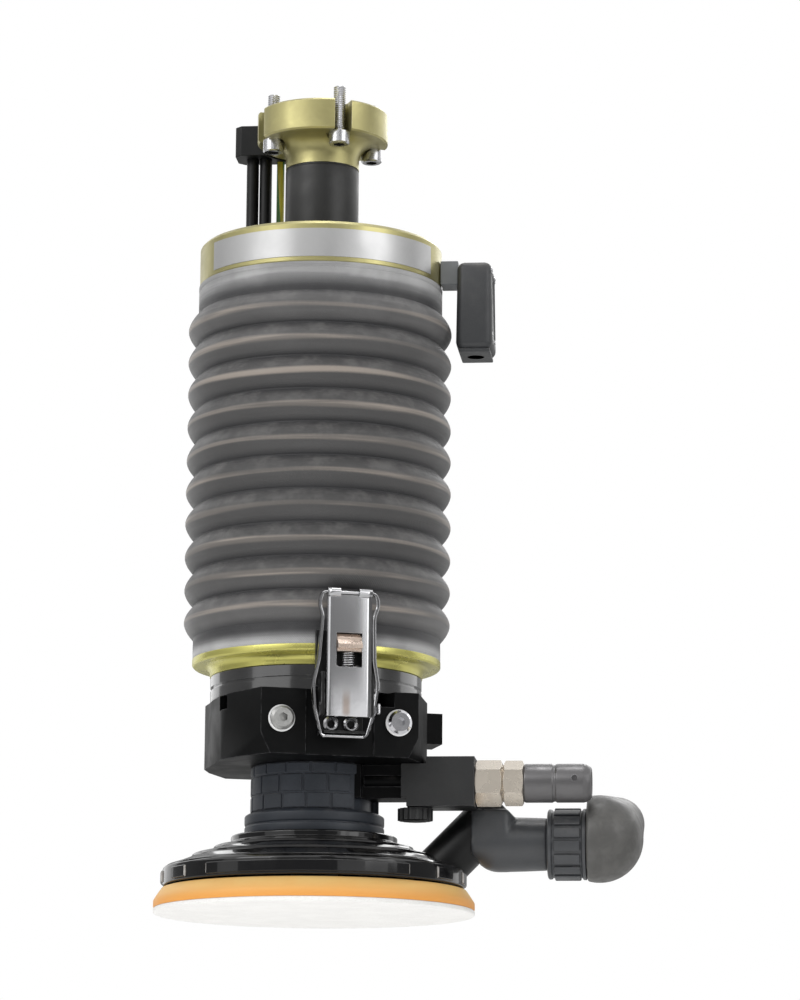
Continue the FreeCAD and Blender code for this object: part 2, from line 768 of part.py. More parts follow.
finish(place(clamp, axis=(0, 0, 1), turn="latch_angle"), "clamp_block")
finish(place(group("block_screw_set", block_screws + block_washers), axis=(0, 0, 1), turn="latch_angle"),
       "clamp_screws")


def latch_bracket(tag):
    """Channel behind the lever: back plate, pad on the hub, two cheeks with the pivot holes."""
    back = block(f"bracket_back_{tag}", ("-bracket_w / 2", "-bracket_face", "-bracket_low"),
                 ("bracket_w / 2", "-bracket_face + bracket_t", "-bracket_top"))
    pad = block(f"bracket_pad_{tag}", ("-pad_half", "-bracket_face + bracket_t", "ring_low_z + gap"),
                ("pad_half", "-hub_r + pad_sink", "-pad_top"))
    cheeks = []
    for side in (-1, 1):
        inner = f"{side} * (lever_w / 2 + gap) - {(1 - side) // 2} * cheek_t"
        cheeks.append(block(f"cheek_{tag}_{side + 1}", (inner, "-pivot_face - cheek_nose", "-cheek_low"),
                            (f"{inner} + cheek_t", "-bracket_face + bracket_t", "-bracket_low + cheek_root")))
    blank = fuse(f"bracket_blank_{tag}", [back, pad] + cheeks)
    hub = rod(f"bracket_hub_{tag}", "hub_r + fit_gap", "0", "0", "-cheek_low",
              "cheek_low - bracket_top")
    hole = rod(f"bracket_hole_{tag}", "pivot_r", "-bracket_w", "-pivot_face", "-pivot_low",
               "2 * bracket_w", "x")
    tools = [hub, hole]
    for side in (-1, 1):
        tools.append(rod(f"bracket_thread_{tag}_{side + 1}", "bracket_screw_r / 2",
                         f"{side} * bracket_screw_half", "-bracket_face - overrun",
                         bracket_screw_z, "bracket_face - ring_r + overrun", "y"))
    return cut(f"bracket_{tag}", blank, tools)


def bracket_screws(tag):
    screws = []
    for side in (-1, 1):
        screw = cap_screw(f"bracket_screw_{tag}_{side + 1}", "bracket_screw_r / 2",
                          "bracket_face - ring_r + bracket_screw_bite",
                          "bracket_screw_r", "bracket_screw_head", "bracket_screw_r")
        screws.append(place(screw, f"{side} * bracket_screw_half", "-bracket_face",
                            bracket_screw_z, (1, 0, 0), "-90"))
    return group(f"bracket_screw_pair_{tag}", screws)


def latch_lever(tag):
    """Pressed lever: face plate with a window, side flanges, two knuckles and the spring seat."""
    face = block(f"lever_plate_{tag}", ("-lever_w / 2", "-lever_face", "-lever_low"),
                 ("lever_w / 2", "-lever_back", "-bail_low"))
    parts = [face]
    for side in (-1, 1):
        inner = f"{side} * lever_w / 2 - {(1 + side) // 2} * lever_t"
        parts.append(block(f"lever_flange_{tag}_{side + 1}", (inner, "-lever_back", "-lever_low"),
                           (f"{inner} + lever_t", "-lever_back + side_flange - lever_t",
                            "-bail_low - side_flange_end")))
        parts.append(block(f"lever_ear_{tag}_{side + 1}", (inner, "-lever_back", "-pivot_low - ear_down"),
                           (f"{inner} + lever_t", "-pivot_face + ear_in", "-pivot_low + ear_up")))
        knuckle_x = f"{side} * lever_w / 2 - {(1 + side) // 2} * eye_len"
        parts.append(rod(f"knuckle_{tag}_{side + 1}", "wire_r + fit_gap + eye_wall", knuckle_x, "-lever_mid",
                         "-bail_low", "eye_len", "x"))
    parts.append(block(f"spring_seat_{tag}",
                       ("-window_w / 2 + seat_inset", "-lever_back", "-window_low - seat_t"),
                       ("window_w / 2 - seat_inset", "-lever_back + seat_depth", "-window_low")))
    blank = fuse(f"lever_blank_{tag}", parts)
    window = block(f"lever_window_{tag}", ("-window_w / 2", "-lever_face - overrun", "-window_low"),
                   ("window_w / 2", "-lever_back + overrun", "-window_top"))
    pin_hole = rod(f"lever_hole_{tag}", "pivot_r + fit_gap", "-lever_w", "-pivot_face", "-pivot_low",
                   "2 * lever_w", "x")
    eye = rod(f"lever_eye_{tag}", "wire_r + fit_gap", "-lever_w", "-lever_mid", "-bail_low", "2 * lever_w", "x")
    gap_half = "lever_w / 2 - eye_len"
    wire_gap = block(f"wire_gap_{tag}", (f"-({gap_half})", "-lever_face - overrun", "-bail_low - wire_r - gap"),
                     (gap_half, "-lever_back + overrun", "-bail_low + eye_len"))
    return cut(f"lever_{tag}", blank, [window, pin_hole, eye, wire_gap])


def latch_catch(tag):
    """Safety slide in the lever window, with a bent thumb tab and lips behind the plate."""
    catch_face = "-lever_face - catch_proud"
    core = block(f"catch_core_{tag}", ("-window_w / 2 + gap", catch_face, "-catch_low"),
                 ("window_w / 2 - gap", "-lever_back + gap", "-catch_top"))
    lips = block(f"catch_lips_{tag}", ("-window_w / 2 - slide_reach", "-lever_back + gap", "-catch_low"),
                 ("window_w / 2 + slide_reach", "-lever_back + gap + slide_lip", "-catch_top - slide_inset"))
    thumb = block(f"catch_thumb_{tag}",
                  ("-window_w / 2 + gap", f"{catch_face} - thumb_reach", "-catch_low + thumb_up"),
                  ("window_w / 2 - gap", catch_face, "-catch_low + thumb_up + thumb_h"))
    return fuse(f"catch_{tag}", [core, lips, thumb])


def catch_spring(tag):
    """Closed outer shape of the coil between the catch and its seat."""
    coil_y = "-lever_face + spring_r"
    outer = rod(f"spring_outer_{tag}", "spring_r", "0", coil_y, "-window_low + fit_gap",
                "window_low - catch_low - 2 * fit_gap")
    inner = rod(f"spring_inner_{tag}", "spring_r - 2 * spring_wire", "0", coil_y, "-window_low - overrun",
                "window_low - catch_low + 2 * overrun")
    return cut(f"spring_{tag}", outer, [inner])


def latch_bail(tag):
    """Wire loop from the lever's knuckles down both sides and under the keeper."""
    depth_top = size("lever_mid")
    depth_low = size("bail_tuck")
    mid = size("bail_mid")
    foot = size("bail_foot")
    top = size("bail_low")
    share = (mid - top) / (foot - top)
    depth_mid = depth_top + (depth_low - depth_top) * share
    side_points = [V(size("bail_half_low"), -depth_low, -foot),
                   V(size("bail_half_mid"), -depth_mid, -mid),
                   V(size("bail_half_top"), -depth_top, -top)]
    mirror = [V(-p.x, p.y, p.z) for p in side_points]
    start = V(0, -depth_top, -top)
    points = [start] + side_points[::-1] + mirror + [start]
    bar = sweep_round(points, size("wire_bend_r"), size("wire_r"))
    obj = doc.addObject("Part::Feature", f"bail_{tag}")
    obj.Shape = bar
    return obj


def latch_keeper(tag):
    """Plate on the clamp block whose lower edge is bent out as the ledge for the wire."""
    plate = block(f"keeper_plate_{tag}", ("-keeper_w / 2", "-block_seat - keeper_t", "-ledge_low"),
                  ("keeper_w / 2", "-block_seat", "-keeper_top"))
    ledge = block(f"keeper_ledge_{tag}", ("-bail_half_low + ledge_side", "-ledge_reach", "-ledge_low"),
                  ("bail_half_low - ledge_side", "-block_seat", "-rivet_low"))
    return fuse(f"keeper_{tag}", [plate, ledge])


def keeper_rivets(tag):
    rivets = []
    for side in (-1, 1):
        rivet_x = f"{side} * rivet_half"
        rivet_z = "-rivet_low + rivet_r"
        head = rod(f"rivet_head_{tag}_{side + 1}", "rivet_r - gap / 2", rivet_x,
                   "-block_seat - keeper_t - rivet_head", rivet_z, "rivet_head", "y")
        hole = rod(f"rivet_hole_{tag}_{side + 1}", "rivet_hole_r", rivet_x,
                   "-block_seat - keeper_t - rivet_head - overrun", rivet_z, "rivet_hole_depth + overrun", "y")
        rivets.append(cut(f"rivet_{tag}_{side + 1}", head, [hole]))
    return group(f"rivet_pair_{tag}", rivets)


def about_latch(obj, turn):
    return place(obj, axis=(0, 0, 1), turn=turn)


# Two latches, front and rear, on the same diameter
latch_sides = (("front", "latch_angle"), ("rear", "latch_angle + 180"))
fixed_sets = {"latch_brackets": latch_bracket, "carriage_screws": bracket_screws,
              "latch_keepers": latch_keeper, "keeper_rivets": keeper_rivets}
for label, make in fixed_sets.items():
    held = [about_latch(make(tag), turn) for tag, turn in latch_sides]
    if label == "carriage_screws":
        held += ring_bolts
    finish(group(label + "_set", held), label)
pins = []
for tag, turn in latch_sides:
    pin = rod(f"pivot_pin_{tag}", "pivot_r", "-lever_w / 2 - gap - cheek_t", "-pivot_face", "-pivot_low",
              "lever_w + 2 * gap + 2 * cheek_t", "x")
    pins.append(about_latch(group(f"pivot_{tag}", [pin]), turn))
finish(group("latch_pins_set", pins), "latch_pins")
for tag, turn in latch_sides:
    finish(about_latch(latch_lever(tag), turn), f"lever_{tag}")
    finish(about_latch(latch_bail(tag), turn), f"bail_{tag}")
    finish(about_latch(latch_catch(tag), turn), f"catch_{tag}")
    finish(about_latch(catch_spring(tag), turn), f"catch_spring_{tag}")

# Air cylinder on the centre line
finish(tube("barrel", "barrel_r", "barrel_bore_r", "barrel_low_z", "cover_in_z"), "cylinder_tube")
finish(tube("cap", "barrel_r", "rod_r + rod_bush_wall", "cap_low_z", "barrel_low_z"), "cylinder_end_cap")
rod_bush = tube("rod_bush", "rod_r + rod_bush_wall", "rod_r + fit_gap", "cap_low_z", "barrel_low_z")
seal_mid = "piston_z - piston_len / 2"
finish(turned("piston_body", [
    ("rod_r", "piston_z - piston_len"), ("barrel_bore_r - fit_gap", "piston_z - piston_len"),
    ("barrel_bore_r - fit_gap", f"{seal_mid} - piston_seal_w / 2"),
    ("barrel_bore_r - piston_seal_depth", f"{seal_mid} - piston_seal_w / 2"),
    ("barrel_bore_r - piston_seal_depth", f"{seal_mid} + piston_seal_w / 2"),
    ("barrel_bore_r - fit_gap", f"{seal_mid} + piston_seal_w / 2"),
    ("barrel_bore_r - fit_gap", "piston_z"), ("rod_r", "piston_z")]), "piston")
piston_seal = tube("piston_seal", "barrel_bore_r - fit_gap / 2", "barrel_bore_r - piston_seal_depth",
                   f"{seal_mid} - piston_seal_w / 2", f"{seal_mid} + piston_seal_w / 2")
finish(group("seal_set", [ring_seal, piston_seal]), "seals")
finish(rod("piston_bar", "rod_r", "0", "0", "cell_z", "piston_z - cell_z"), "piston_rod")
finish(rod("cell", "cell_r", "0", "0", "well_z", "cell_len"), "load_cell")

# Three guide shafts in bushes, hung from a plate under the cover
plate_body = tube("guide_plate", "guide_plate_r", "barrel_r + fit_gap", "plate_low_z", "cover_in_z")
plate_parts = [plate_body]
plate_tools = []
bush_parts = [rod_bush]
shaft_parts = []
for i in range(int(size("guide_count"))):
    angle = f"guide_angle + {i} * 360 / guide_count"
    guide_x = f"guide_circle_r * cos({angle})"
    guide_y = f"guide_circle_r * sin({angle})"
    bush_r = "guide_r + guide_bush_wall"
    plate_parts.append(rod(f"guide_tube_{i}", f"{bush_r} + guide_tube_wall", guide_x, guide_y, "guide_low_z",
                           "guide_tube_len"))
    plate_tools.append(rod(f"guide_bore_{i}", bush_r, guide_x, guide_y, "guide_low_z - overrun",
                           "guide_tube_len + 2 * overrun"))
    for level, bush_z in enumerate(("guide_low_z", "guide_top_z - guide_bush_len")):
        blank = rod(f"bush_blank_{i}_{level}", bush_r, guide_x, guide_y, bush_z, "guide_bush_len")
        hole = rod(f"bush_hole_{i}_{level}", "guide_r + fit_gap", guide_x, guide_y, f"{bush_z} - overrun",
                   "guide_bush_len + 2 * overrun")
        bush_parts.append(cut(f"bush_{i}_{level}", blank, [hole]))
    shaft_parts.append(rod(f"guide_shaft_{i}", "guide_r", guide_x, guide_y, "well_z", "guide_top_z - well_z"))
finish(cut("guides", fuse("guide_blank", plate_parts), plate_tools), "guide_housing")
finish(group("bush_set", bush_parts), "plain_bushes")
finish(group("shaft_set", shaft_parts), "guide_shafts")

# Position sensor, its rod, the control board on its posts and the pressure valve
sensor_x = "sensor_circle_r * cos(sensor_angle)"
sensor_y = "sensor_circle_r * sin(sensor_angle)"
sensor_body = rod("sensor_body", "sensor_r", sensor_x, sensor_y, "sensor_low_z", "sensor_len")
sensor_bore = rod("sensor_bore", "sensor_bore_r", sensor_x, sensor_y, "sensor_low_z - overrun",
                  "sensor_len - sensor_cap + overrun")
finish(cut("sensor", sensor_body, [sensor_bore]), "position_sensor")
finish(rod("sensor_rod", "sensor_rod_r", sensor_x, sensor_y, "well_z",
           "sensor_low_z + sensor_overlap - well_z"), "sensor_rod")
board_top = "plate_low_z - board_drop"
board = block("board", ("-board_w / 2", "board_y", f"{board_top} - board_len"),
              ("board_w / 2", "board_y + board_t", board_top))
hanger = block("board_hanger", ("-board_w / 2", "board_y + board_t", f"{board_top} - hanger_h"),
               ("board_w / 2", "board_y + 3 * board_t", "plate_low_z"))
finish(fuse("board_on_hanger", [board, hanger]), "control_board")
valve = block("valve", ("-valve_w / 2", "-valve_w / 2", "plate_low_z - valve_len"),
              ("valve_w / 2", "valve_w / 2", "plate_low_z"))
valve_port = rod("valve_port", "valve_w / 4", "0", "0", "plate_low_z - valve_len - valve_port_len",
                 "valve_len")
pressure_valve = fuse("pressure_valve_body", [valve, valve_port])
finish(place(pressure_valve, "valve_circle_r * cos(valve_angle)", "valve_circle_r * sin(valve_angle)", "0",
             (0, 0, 1), "valve_angle"), "pressure_valve")

# Side box on its arm beside the top cover
box_outline = [("box_x", "-box_d / 2 + box_round"), ("box_x + box_round", "-box_d / 2"),
               ("box_x + box_w - box_round", "-box_d / 2"), ("box_x + box_w", "-box_d / 2 + box_round"),
               ("box_x + box_w", "box_d / 2 - box_round"), ("box_x + box_w - box_round", "box_d / 2"),
               ("box_x + box_round", "box_d / 2"), ("box_x", "box_d / 2 - box_round")]
box_body = prism("box_body", box_outline, "-box_top - box_len", "-box_top")
box_hollow = block("box_hollow",
                   ("box_x + box_wall", "-box_d / 2 + box_round", "-box_top - box_len + box_wall"),
                   ("box_x + box_w - box_wall", "box_d / 2 - box_round", "-box_top - box_wall"))
finish(cut("side_box", box_body, [box_hollow]), "junction_box")
arm = block("arm", ("cover_r - arm_sink", "-box_d / 4", "cover_low_z + edge_break"),
            ("box_x", "box_d / 4", "cover_z - arm_drop"))
arm_cut = rod("arm_cut", "cover_r + band_t + fit_gap", "0", "0", "cover_low_z - overrun",
              "cover_len + 2 * overrun")
finish(cut("side_arm", arm, [arm_cut]), "junction_bracket")

# Air lines and earth lead between the cover and the clip on the adapter
clip_left = "line_x - clip_side"
clip_right = "lead_x + clip_lead_side"
clip_front = "line_y - clip_depth / 2"
clip_back = "line_y + clip_depth / 2"
clip_outline = [(clip_left, f"{clip_front} + clip_bevel"), (f"{clip_left} + clip_bevel", clip_front),
                (clip_right, clip_front), (clip_right, clip_back),
                (f"{clip_left} + clip_bevel", clip_back), (clip_left, f"{clip_back} - clip_bevel")]
clip_body = prism("clip_body", clip_outline, "-clip_top - clip_len", "-clip_top")
clip_low_z = "-clip_top - clip_len - overrun"
clip_tools = [rod("clip_cut", "disc_r + fit_gap", "0", "0", clip_low_z, "clip_len + 2 * overrun")]
line_parts = []
fitting_parts = []
clip_socket_z = "-clip_top - clip_len / 2"
for i in range(2):
    line_at = f"line_x + {i} * line_step"
    line_parts.append(rod(f"line_{i}", "line_r", line_at, "line_y", "fitting_z - fitting_bore",
                          f"{clip_socket_z} - fitting_z + fitting_bore"))
    clip_tools.append(rod(f"clip_socket_{i}", "line_r", line_at, "line_y", clip_low_z,
                          "clip_len / 2 + overrun"))
    fitting_blank = rod(f"fitting_blank_{i}", "line_step / 2 - fit_gap", line_at, "line_y", "cover_z",
                        "fitting_len")
    fitting_hole = rod(f"fitting_hole_{i}", "line_r", line_at, "line_y", "fitting_z - fitting_bore",
                       "fitting_bore + overrun")
    fitting_parts.append(cut(f"fitting_{i}", fitting_blank, [fitting_hole]))
clip_tools.append(rod("clip_lead_socket", "lead_r", "lead_x", "lead_y", clip_low_z, "clip_len / 2 + overrun"))
finish(cut("clip", clip_body, clip_tools), "line_clamp")
finish(group("line_pair", line_parts), "air_lines")
finish(group("fitting_pair", fitting_parts), "push_in_fittings")
lead = rod("lead", "lead_r", "lead_x", "lead_y", "cover_z + lug_t", f"{clip_socket_z} - cover_z - lug_t")
lug = rod("lug", "lead_r * 2", "lead_x", "lead_y", "cover_z", "lug_t")
finish(fuse("earth", [lead, lug]), "earth_lead")

# Sander housing held in the clamp block, with grip, collar and skirt below
liner_r = "housing_r - housing_wall"
finish(turned("housing", [
    ("0", "housing_in_z"), (liner_r, "housing_in_z"), (liner_r, "collar_low_z"), ("housing_r", "collar_low_z"),
    ("housing_r", "-housing_top"), ("0", "-housing_top")]), "sander_housing")
grip = tube("grip", "grip_r", "housing_r", "grip_low_z", "block_low_z")
grip_slot = block("grip_slot", ("0", "inlet_y - valve_body_d / 2", "grip_low_z - overrun"),
                  ("grip_r + overrun", "inlet_y + valve_body_d / 2", "block_low_z + overrun"))
finish(cut("grip_sleeve", grip, [grip_slot]), "grip_cover")
collar = tube("collar", "collar_r", "housing_r", "collar_low_z", "grip_low_z")
ease(collar, "Fillet", "edge_break", [("collar_r", "grip_low_z")])
finish(collar, "sander_collar")
skirt_body = turned("skirt_body", [
    ("brim_bore_r", "collar_low_z"), ("step_r", "collar_low_z"), ("step_r", "step_z"),
    ("brim_shoulder_r", "brim_top_z + brim_rise"), ("brim_r", "brim_top_z"), ("brim_r", "brim_low_z"),
    ("brim_r - skirt_wall", "brim_low_z"), ("brim_r - skirt_wall", "brim_top_z - brim_lining"),
    ("brim_shoulder_r - skirt_wall / 2", "brim_top_z + brim_rise - skirt_wall"),
    ("step_r", "step_z - skirt_wall"), ("brim_bore_r", "step_z - skirt_wall")])

# Dust port: a slanted stub out of the skirt, then tube, cuff ring and swivelling elbow
port_len = "sqrt(port_run * port_run + port_drop * port_drop)"
port_tilt = "atan(port_run / port_drop)"


def slanted(name, radius, past="0"):
    """A round bar along the line of the dust port, longer by past at both ends."""
    obj = doc.addObject("Part::Cylinder", name)
    bind(obj, "Radius", radius)
    bind(obj, "Height", f"{port_len} + 2 * ({past})")
    share = f"({past}) / ({port_len})"
    return place(obj, f"port_x - port_run * {share}", "dust_y", f"dust_z - port_drop - port_drop * {share}",
                 (0, 1, 0), port_tilt)


skirt_room = slanted("skirt_room", "dust_r")
finish(cut("skirt_shell", skirt_body, [skirt_room]), "skirt")
port_blank = slanted("port_blank", "dust_r")
port_bore = slanted("port_bore", "dust_r - dust_wall", "overrun")
inner_brim = turned("inner_brim", [
    ("0", "pad_low_z"), ("pad_r", "pad_low_z"), ("pad_r", "brim_top_z"), ("brim_r", "brim_top_z"),
    ("brim_shoulder_r", "brim_top_z + brim_rise"), ("step_r", "step_z"), ("0", "step_z")])
port_end = block("port_end", ("tube_x", "dust_y - 2 * dust_r", "dust_z - 2 * dust_r"),
                 ("tube_x + 2 * dust_r", "dust_y + 2 * dust_r", "dust_z + 2 * dust_r"))
finish(cut("port", port_blank, [port_bore, inner_brim, port_end]), "dust_port")
tube_blank = rod("dust_tube_blank", "dust_r", "tube_x", "dust_y", "dust_z", "tube_len", "x")
tube_bore = rod("dust_tube_bore", "dust_r - dust_wall", "tube_x - overrun", "dust_y", "dust_z",
                "tube_len + 2 * overrun", "x")
finish(cut("dust_pipe", tube_blank, [tube_bore]), "dust_tube")
cuff = tube("cuff_ring", "cuff_ring_r", "dust_r - dust_wall", "0", "cuff_ring_len")
finish(place(cuff, "cuff_ring_x", "dust_y", "dust_z", (0, 1, 0), "90"), "dust_cuff")

# Elbow: a collar on the swivel axis, a dome, and the outlet pipe with a socket for the hose end
dome_x = "elbow_x + dome_ahead"
dome_y = "dust_y + dome_shift * cos(dome_angle)"
dome_z = "dust_z + dome_shift * sin(dome_angle)"


def outlet(name, radius, start, length):
    """A bar along the outlet, up and back, from a distance off the swivel axis."""
    obj = doc.addObject("Part::Cylinder", name)
    bind(obj, "Radius", radius)
    bind(obj, "Height", length)
    return place(obj, "outlet_x", f"dust_y + ({start}) * cos(outlet_angle)",
                 f"dust_z + ({start}) * sin(outlet_angle)", (1, 0, 0), "outlet_angle - 90")


def dome(name, radius):
    obj = doc.addObject("Part::Sphere", name)
    bind(obj, "Radius", radius)
    return place(obj, dome_x, dome_y, dome_z)


def before(name, x):
    """Everything of the elbow that lies before a place on the swivel axis."""
    return block(name, ("elbow_x - 2 * dome_r", "dust_y - 2 * dome_r", "dust_z - 2 * dome_r"),
                 (x, "dust_y + 2 * dome_r", "dust_z + 2 * dome_r"))


elbow_collar = rod("elbow_collar", "elbow_r", "elbow_x", "dust_y", "dust_z", "dome_ahead", "x")
elbow_blank = fuse("elbow_blank", [elbow_collar, dome("dome_out", "dome_r"),
                                   outlet("outlet_pipe", "outlet_r", "0", "outlet_len")])
dome_room = cut("dome_room", dome("dome_in", "dome_r - dome_wall"),
                [before("dome_front", "elbow_x + dust_wall")])
elbow_mouth = rod("elbow_mouth", "dust_r - dust_wall", "elbow_x - overrun", "dust_y", "dust_z",
                  "dome_ahead + overrun", "x")
outlet_bore = outlet("outlet_bore", "outlet_bore_r", "0", "outlet_len")
outlet_socket = outlet("outlet_socket", "socket_r", "outlet_len - socket_len", "socket_len + overrun")
elbow_tools = [before("elbow_front", "elbow_x"), elbow_mouth, dome_room, outlet_bore, outlet_socket]
finish(cut("elbow", elbow_blank, elbow_tools), "dust_elbow")

# Motor: liner, two bearings, rotor on its spindle with the eccentric weight
liner_low = "rotor_low_z - rotor_gap / 2"
liner_high = "rotor_z + rotor_gap / 2"
finish(tube("liner", liner_r, f"{liner_r} - liner_wall", liner_low, liner_high), "motor_liner")
bearing_set = []
for i, (low, high) in enumerate(((liner_high, "housing_in_z"), ("collar_low_z", liner_low))):
    bearing_set.append(tube(f"bearing_{i}", liner_r, "spindle_r + fit_gap", low, high))
finish(group("bearing_pair", bearing_set), "motor_bearings")
spindle = turned("spindle", [
    ("0", "weight_low_z"), ("weight_r", "weight_low_z"), ("weight_r", "weight_z"), ("spindle_r", "weight_z"),
    ("spindle_r", "rotor_low_z"), ("rotor_r", "rotor_low_z"), ("rotor_r", "rotor_z"), ("spindle_r", "rotor_z"),
    ("spindle_r", "housing_in_z - gap"), ("0", "housing_in_z - gap")])
stud_bore = rod("stud_bore", "pad_stud_r + fit_gap", "0", "orbit", "weight_low_z - overrun",
                "pad_stud_len + overrun + gap")
finish(cut("rotor", spindle, [stud_bore]), "rotor_spindle")

# Backing pad on its stud, set off the spindle axis by the orbit, and the abrasive disc
pad_disc = turned("pad_disc", [
    ("0", "pad_low_z"), ("pad_r", "pad_low_z"), ("pad_r", "pad_low_z + pad_rim"), ("pad_top_r", "pad_z"),
    ("pad_hub_r", "pad_z"), ("pad_hub_r", "weight_low_z - gap"), ("pad_stud_r", "weight_low_z - gap"),
    ("pad_stud_r", "weight_low_z + pad_stud_len"), ("0", "weight_low_z + pad_stud_len")])
finish(place(pad_disc, y="orbit"), "backing_pad")
finish(rod("abrasive", "pad_r", "0", "orbit", "pad_low_z - abrasive_t", "abrasive_t"), "abrasive_disc")

# Inlet valve block with speed knob, hexagon adapter and quick coupling
low_y = "inlet_y - valve_body_d / 2"
high_y = "inlet_y + valve_body_d / 2"
valve_low_z = "inlet_z - valve_body_h / 2"
valve_top_z = "inlet_z + valve_body_h / 2"
valve_main = block("valve_main", ("valve_neck_x", low_y, valve_low_z),
                   ("valve_end_x", high_y, "block_low_z - gap"))
valve_crown = block("valve_crown", ("valve_body_x", low_y, "block_low_z - gap"),
                    ("valve_end_x", high_y, valve_top_z))
valve_neck = block("valve_neck", ("0", low_y, "inlet_z - valve_neck_h / 2"),
                   ("valve_neck_x", high_y, "block_low_z - gap"))
neck_cut = rod("valve_neck_cut", "housing_r", "0", "0", "grip_low_z - grip_len", "3 * grip_len")
stem_bore = rod("stem_bore", "knob_stem_r + fit_gap", "knob_x", "inlet_y", f"{valve_low_z} - overrun",
                "knob_stem_len + overrun + gap")
finish(cut("inlet_valve", fuse("inlet_blank", [valve_main, valve_crown, valve_neck]), [neck_cut, stem_bore]),
       "valve_block")
knob_body = rod("knob_body", "knob_r", "knob_x", "inlet_y", f"{valve_low_z} - gap - knob_len", "knob_len")
knob_stem = rod("knob_stem", "knob_stem_r", "knob_x", "inlet_y", f"{valve_low_z} - gap - overrun",
                "knob_stem_len + overrun")
finish(fuse("knob", [knob_body, knob_stem]), "speed_knob")
hex_one = hexagon("hex_one", "hex_one_af", "valve_end_x", "inlet_y", "inlet_z", "hex_one_len", "x")
hex_link = rod("hex_link", "hex_neck_r", "hex_x - overrun", "inlet_y", "inlet_z", "hex_gap + 2 * overrun", "x")
hex_two = hexagon("hex_two", "hex_two_af", "hex_two_x", "inlet_y", "inlet_z", "hex_two_len", "x")
hex_bore = rod("hex_bore", "hex_bore_r", "valve_end_x - overrun", "inlet_y", "inlet_z",
               "sleeve_x - valve_end_x + 2 * overrun", "x")
finish(cut("hex_fitting", fuse("hex_blank", [hex_one, hex_link, hex_two]), [hex_bore]), "hex_adapter")
coupling = turned("coupling", [
    ("sleeve_bore_r", "0"), ("sleeve_r - sleeve_edge", "0"), ("sleeve_r", "sleeve_edge"),
    ("sleeve_r", "sleeve_len - sleeve_nose"), ("sleeve_r - sleeve_nose", "sleeve_len"),
    ("sleeve_bore_r", "sleeve_len")])
finish(place(coupling, "sleeve_x", "inlet_y", "inlet_z", (0, 1, 0), "90"), "air_coupling")

# Check every object, then write each sub-part
doc.recompute()
faults = [f"{obj.Name}: {obj.State}" for obj in doc.Objects if {"Invalid", "Error"} & set(obj.State)]
for obj in pieces:
    if obj.Shape.isNull() or not obj.Shape.isValid():
        faults.append(f"{obj.Label}: shape is not sound")
if faults:
    raise RuntimeError("; ".join(faults))
os.makedirs("parts", exist_ok=True)
for obj in pieces:
    obj.Shape.exportStep(os.path.join("parts", obj.Label + ".step"))
print(len(pieces), "sub-parts written")
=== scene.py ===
import math

import bpy
from bpy.props import FloatProperty, FloatVectorProperty, IntProperty, PointerProperty
from bpy.types import Operator, Panel, PropertyGroup
from mathutils import Matrix, Vector


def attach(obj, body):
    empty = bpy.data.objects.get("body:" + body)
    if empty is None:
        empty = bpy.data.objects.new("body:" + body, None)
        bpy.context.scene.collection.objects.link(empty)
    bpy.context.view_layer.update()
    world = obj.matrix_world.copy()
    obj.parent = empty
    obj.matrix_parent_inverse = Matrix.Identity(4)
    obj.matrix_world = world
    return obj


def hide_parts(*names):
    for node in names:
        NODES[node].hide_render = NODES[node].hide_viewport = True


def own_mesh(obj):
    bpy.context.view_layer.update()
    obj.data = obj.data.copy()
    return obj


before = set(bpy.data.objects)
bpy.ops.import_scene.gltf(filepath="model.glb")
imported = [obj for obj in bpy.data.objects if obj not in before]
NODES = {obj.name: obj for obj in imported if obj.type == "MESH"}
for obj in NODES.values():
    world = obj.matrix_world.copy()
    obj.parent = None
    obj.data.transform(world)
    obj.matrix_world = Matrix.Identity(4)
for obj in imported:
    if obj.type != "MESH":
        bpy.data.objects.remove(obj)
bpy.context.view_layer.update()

bl_info = {
    "name": "Active contact flange",
    "version": (1, 0, 0),
    "blender": (4, 5, 0),
    "location": "View3D > Sidebar > Contact flange",
    "description": "Models and finishes an active contact flange with its latched sander",
    "category": "Object",
}

MM = 0.001
FULL_TURN = math.tau
AXIS_Z = Vector((0, 0, 1))

# Places that more than one piece uses, in millimetres and degrees
LATCH_ANGLE = 19.5
LATCH_SIDES = (("front", LATCH_ANGLE), ("rear", LATCH_ANGLE + 180.0))
BELLOWS_TOP, BELLOWS_LOW = -87.5, -267.6
INLET_AXIS, DUST_AXIS = (0, -10, -326.5), (0, 8, -353)
ALONG_X = (0, 90, 0)
ON_INLET = {"base": INLET_AXIS, "turn": ALONG_X}
ON_DUST = {"base": DUST_AXIS, "turn": ALONG_X}
SLEEVE_START, CUFF_START, CUFF_END = 98.8, 109.0, 127.0
PAD_CENTRE = (0, 2.5, 0)
PAD_RADIUS, PAD_UNDERSIDE = 75.0, -384.1

# Windows of the room that reflections show, in degrees round it from the camera's side
LOW_WINDOWS = ((-68, -52), (24, 62), (112, 150), (-160, -122))
MIDDLE_WINDOWS = ((-66, -22), (38, 50), (57, 82), (112, 150), (-160, -122))
HIGH_WINDOWS = ((-104, -43), (-31, 11), (23, 57), (70, 98), (112, 150), (162, 180), (-180, -158),
                (-146, -116))

WHITE = (1, 1, 1, 1)

# Sockets of a Mix node that hold colours
MIX_FIRST, MIX_SECOND, MIX_RESULT = 6, 7, 2


def paint(red, green, blue):
    """A colour given as 0 to 255 on a screen, as the linear values that shaders use."""
    channels = []
    for value in (red, green, blue):
        share = value / 255
        channels.append(share / 12.92 if share <= 0.04045 else ((share + 0.055) / 1.055) ** 2.4)
    return tuple(channels)


def tint(name, description, *screen_colour):
    return FloatVectorProperty(name=name, description=description, subtype="COLOR", size=3,
                               min=0.0, max=1.0, default=paint(*screen_colour))


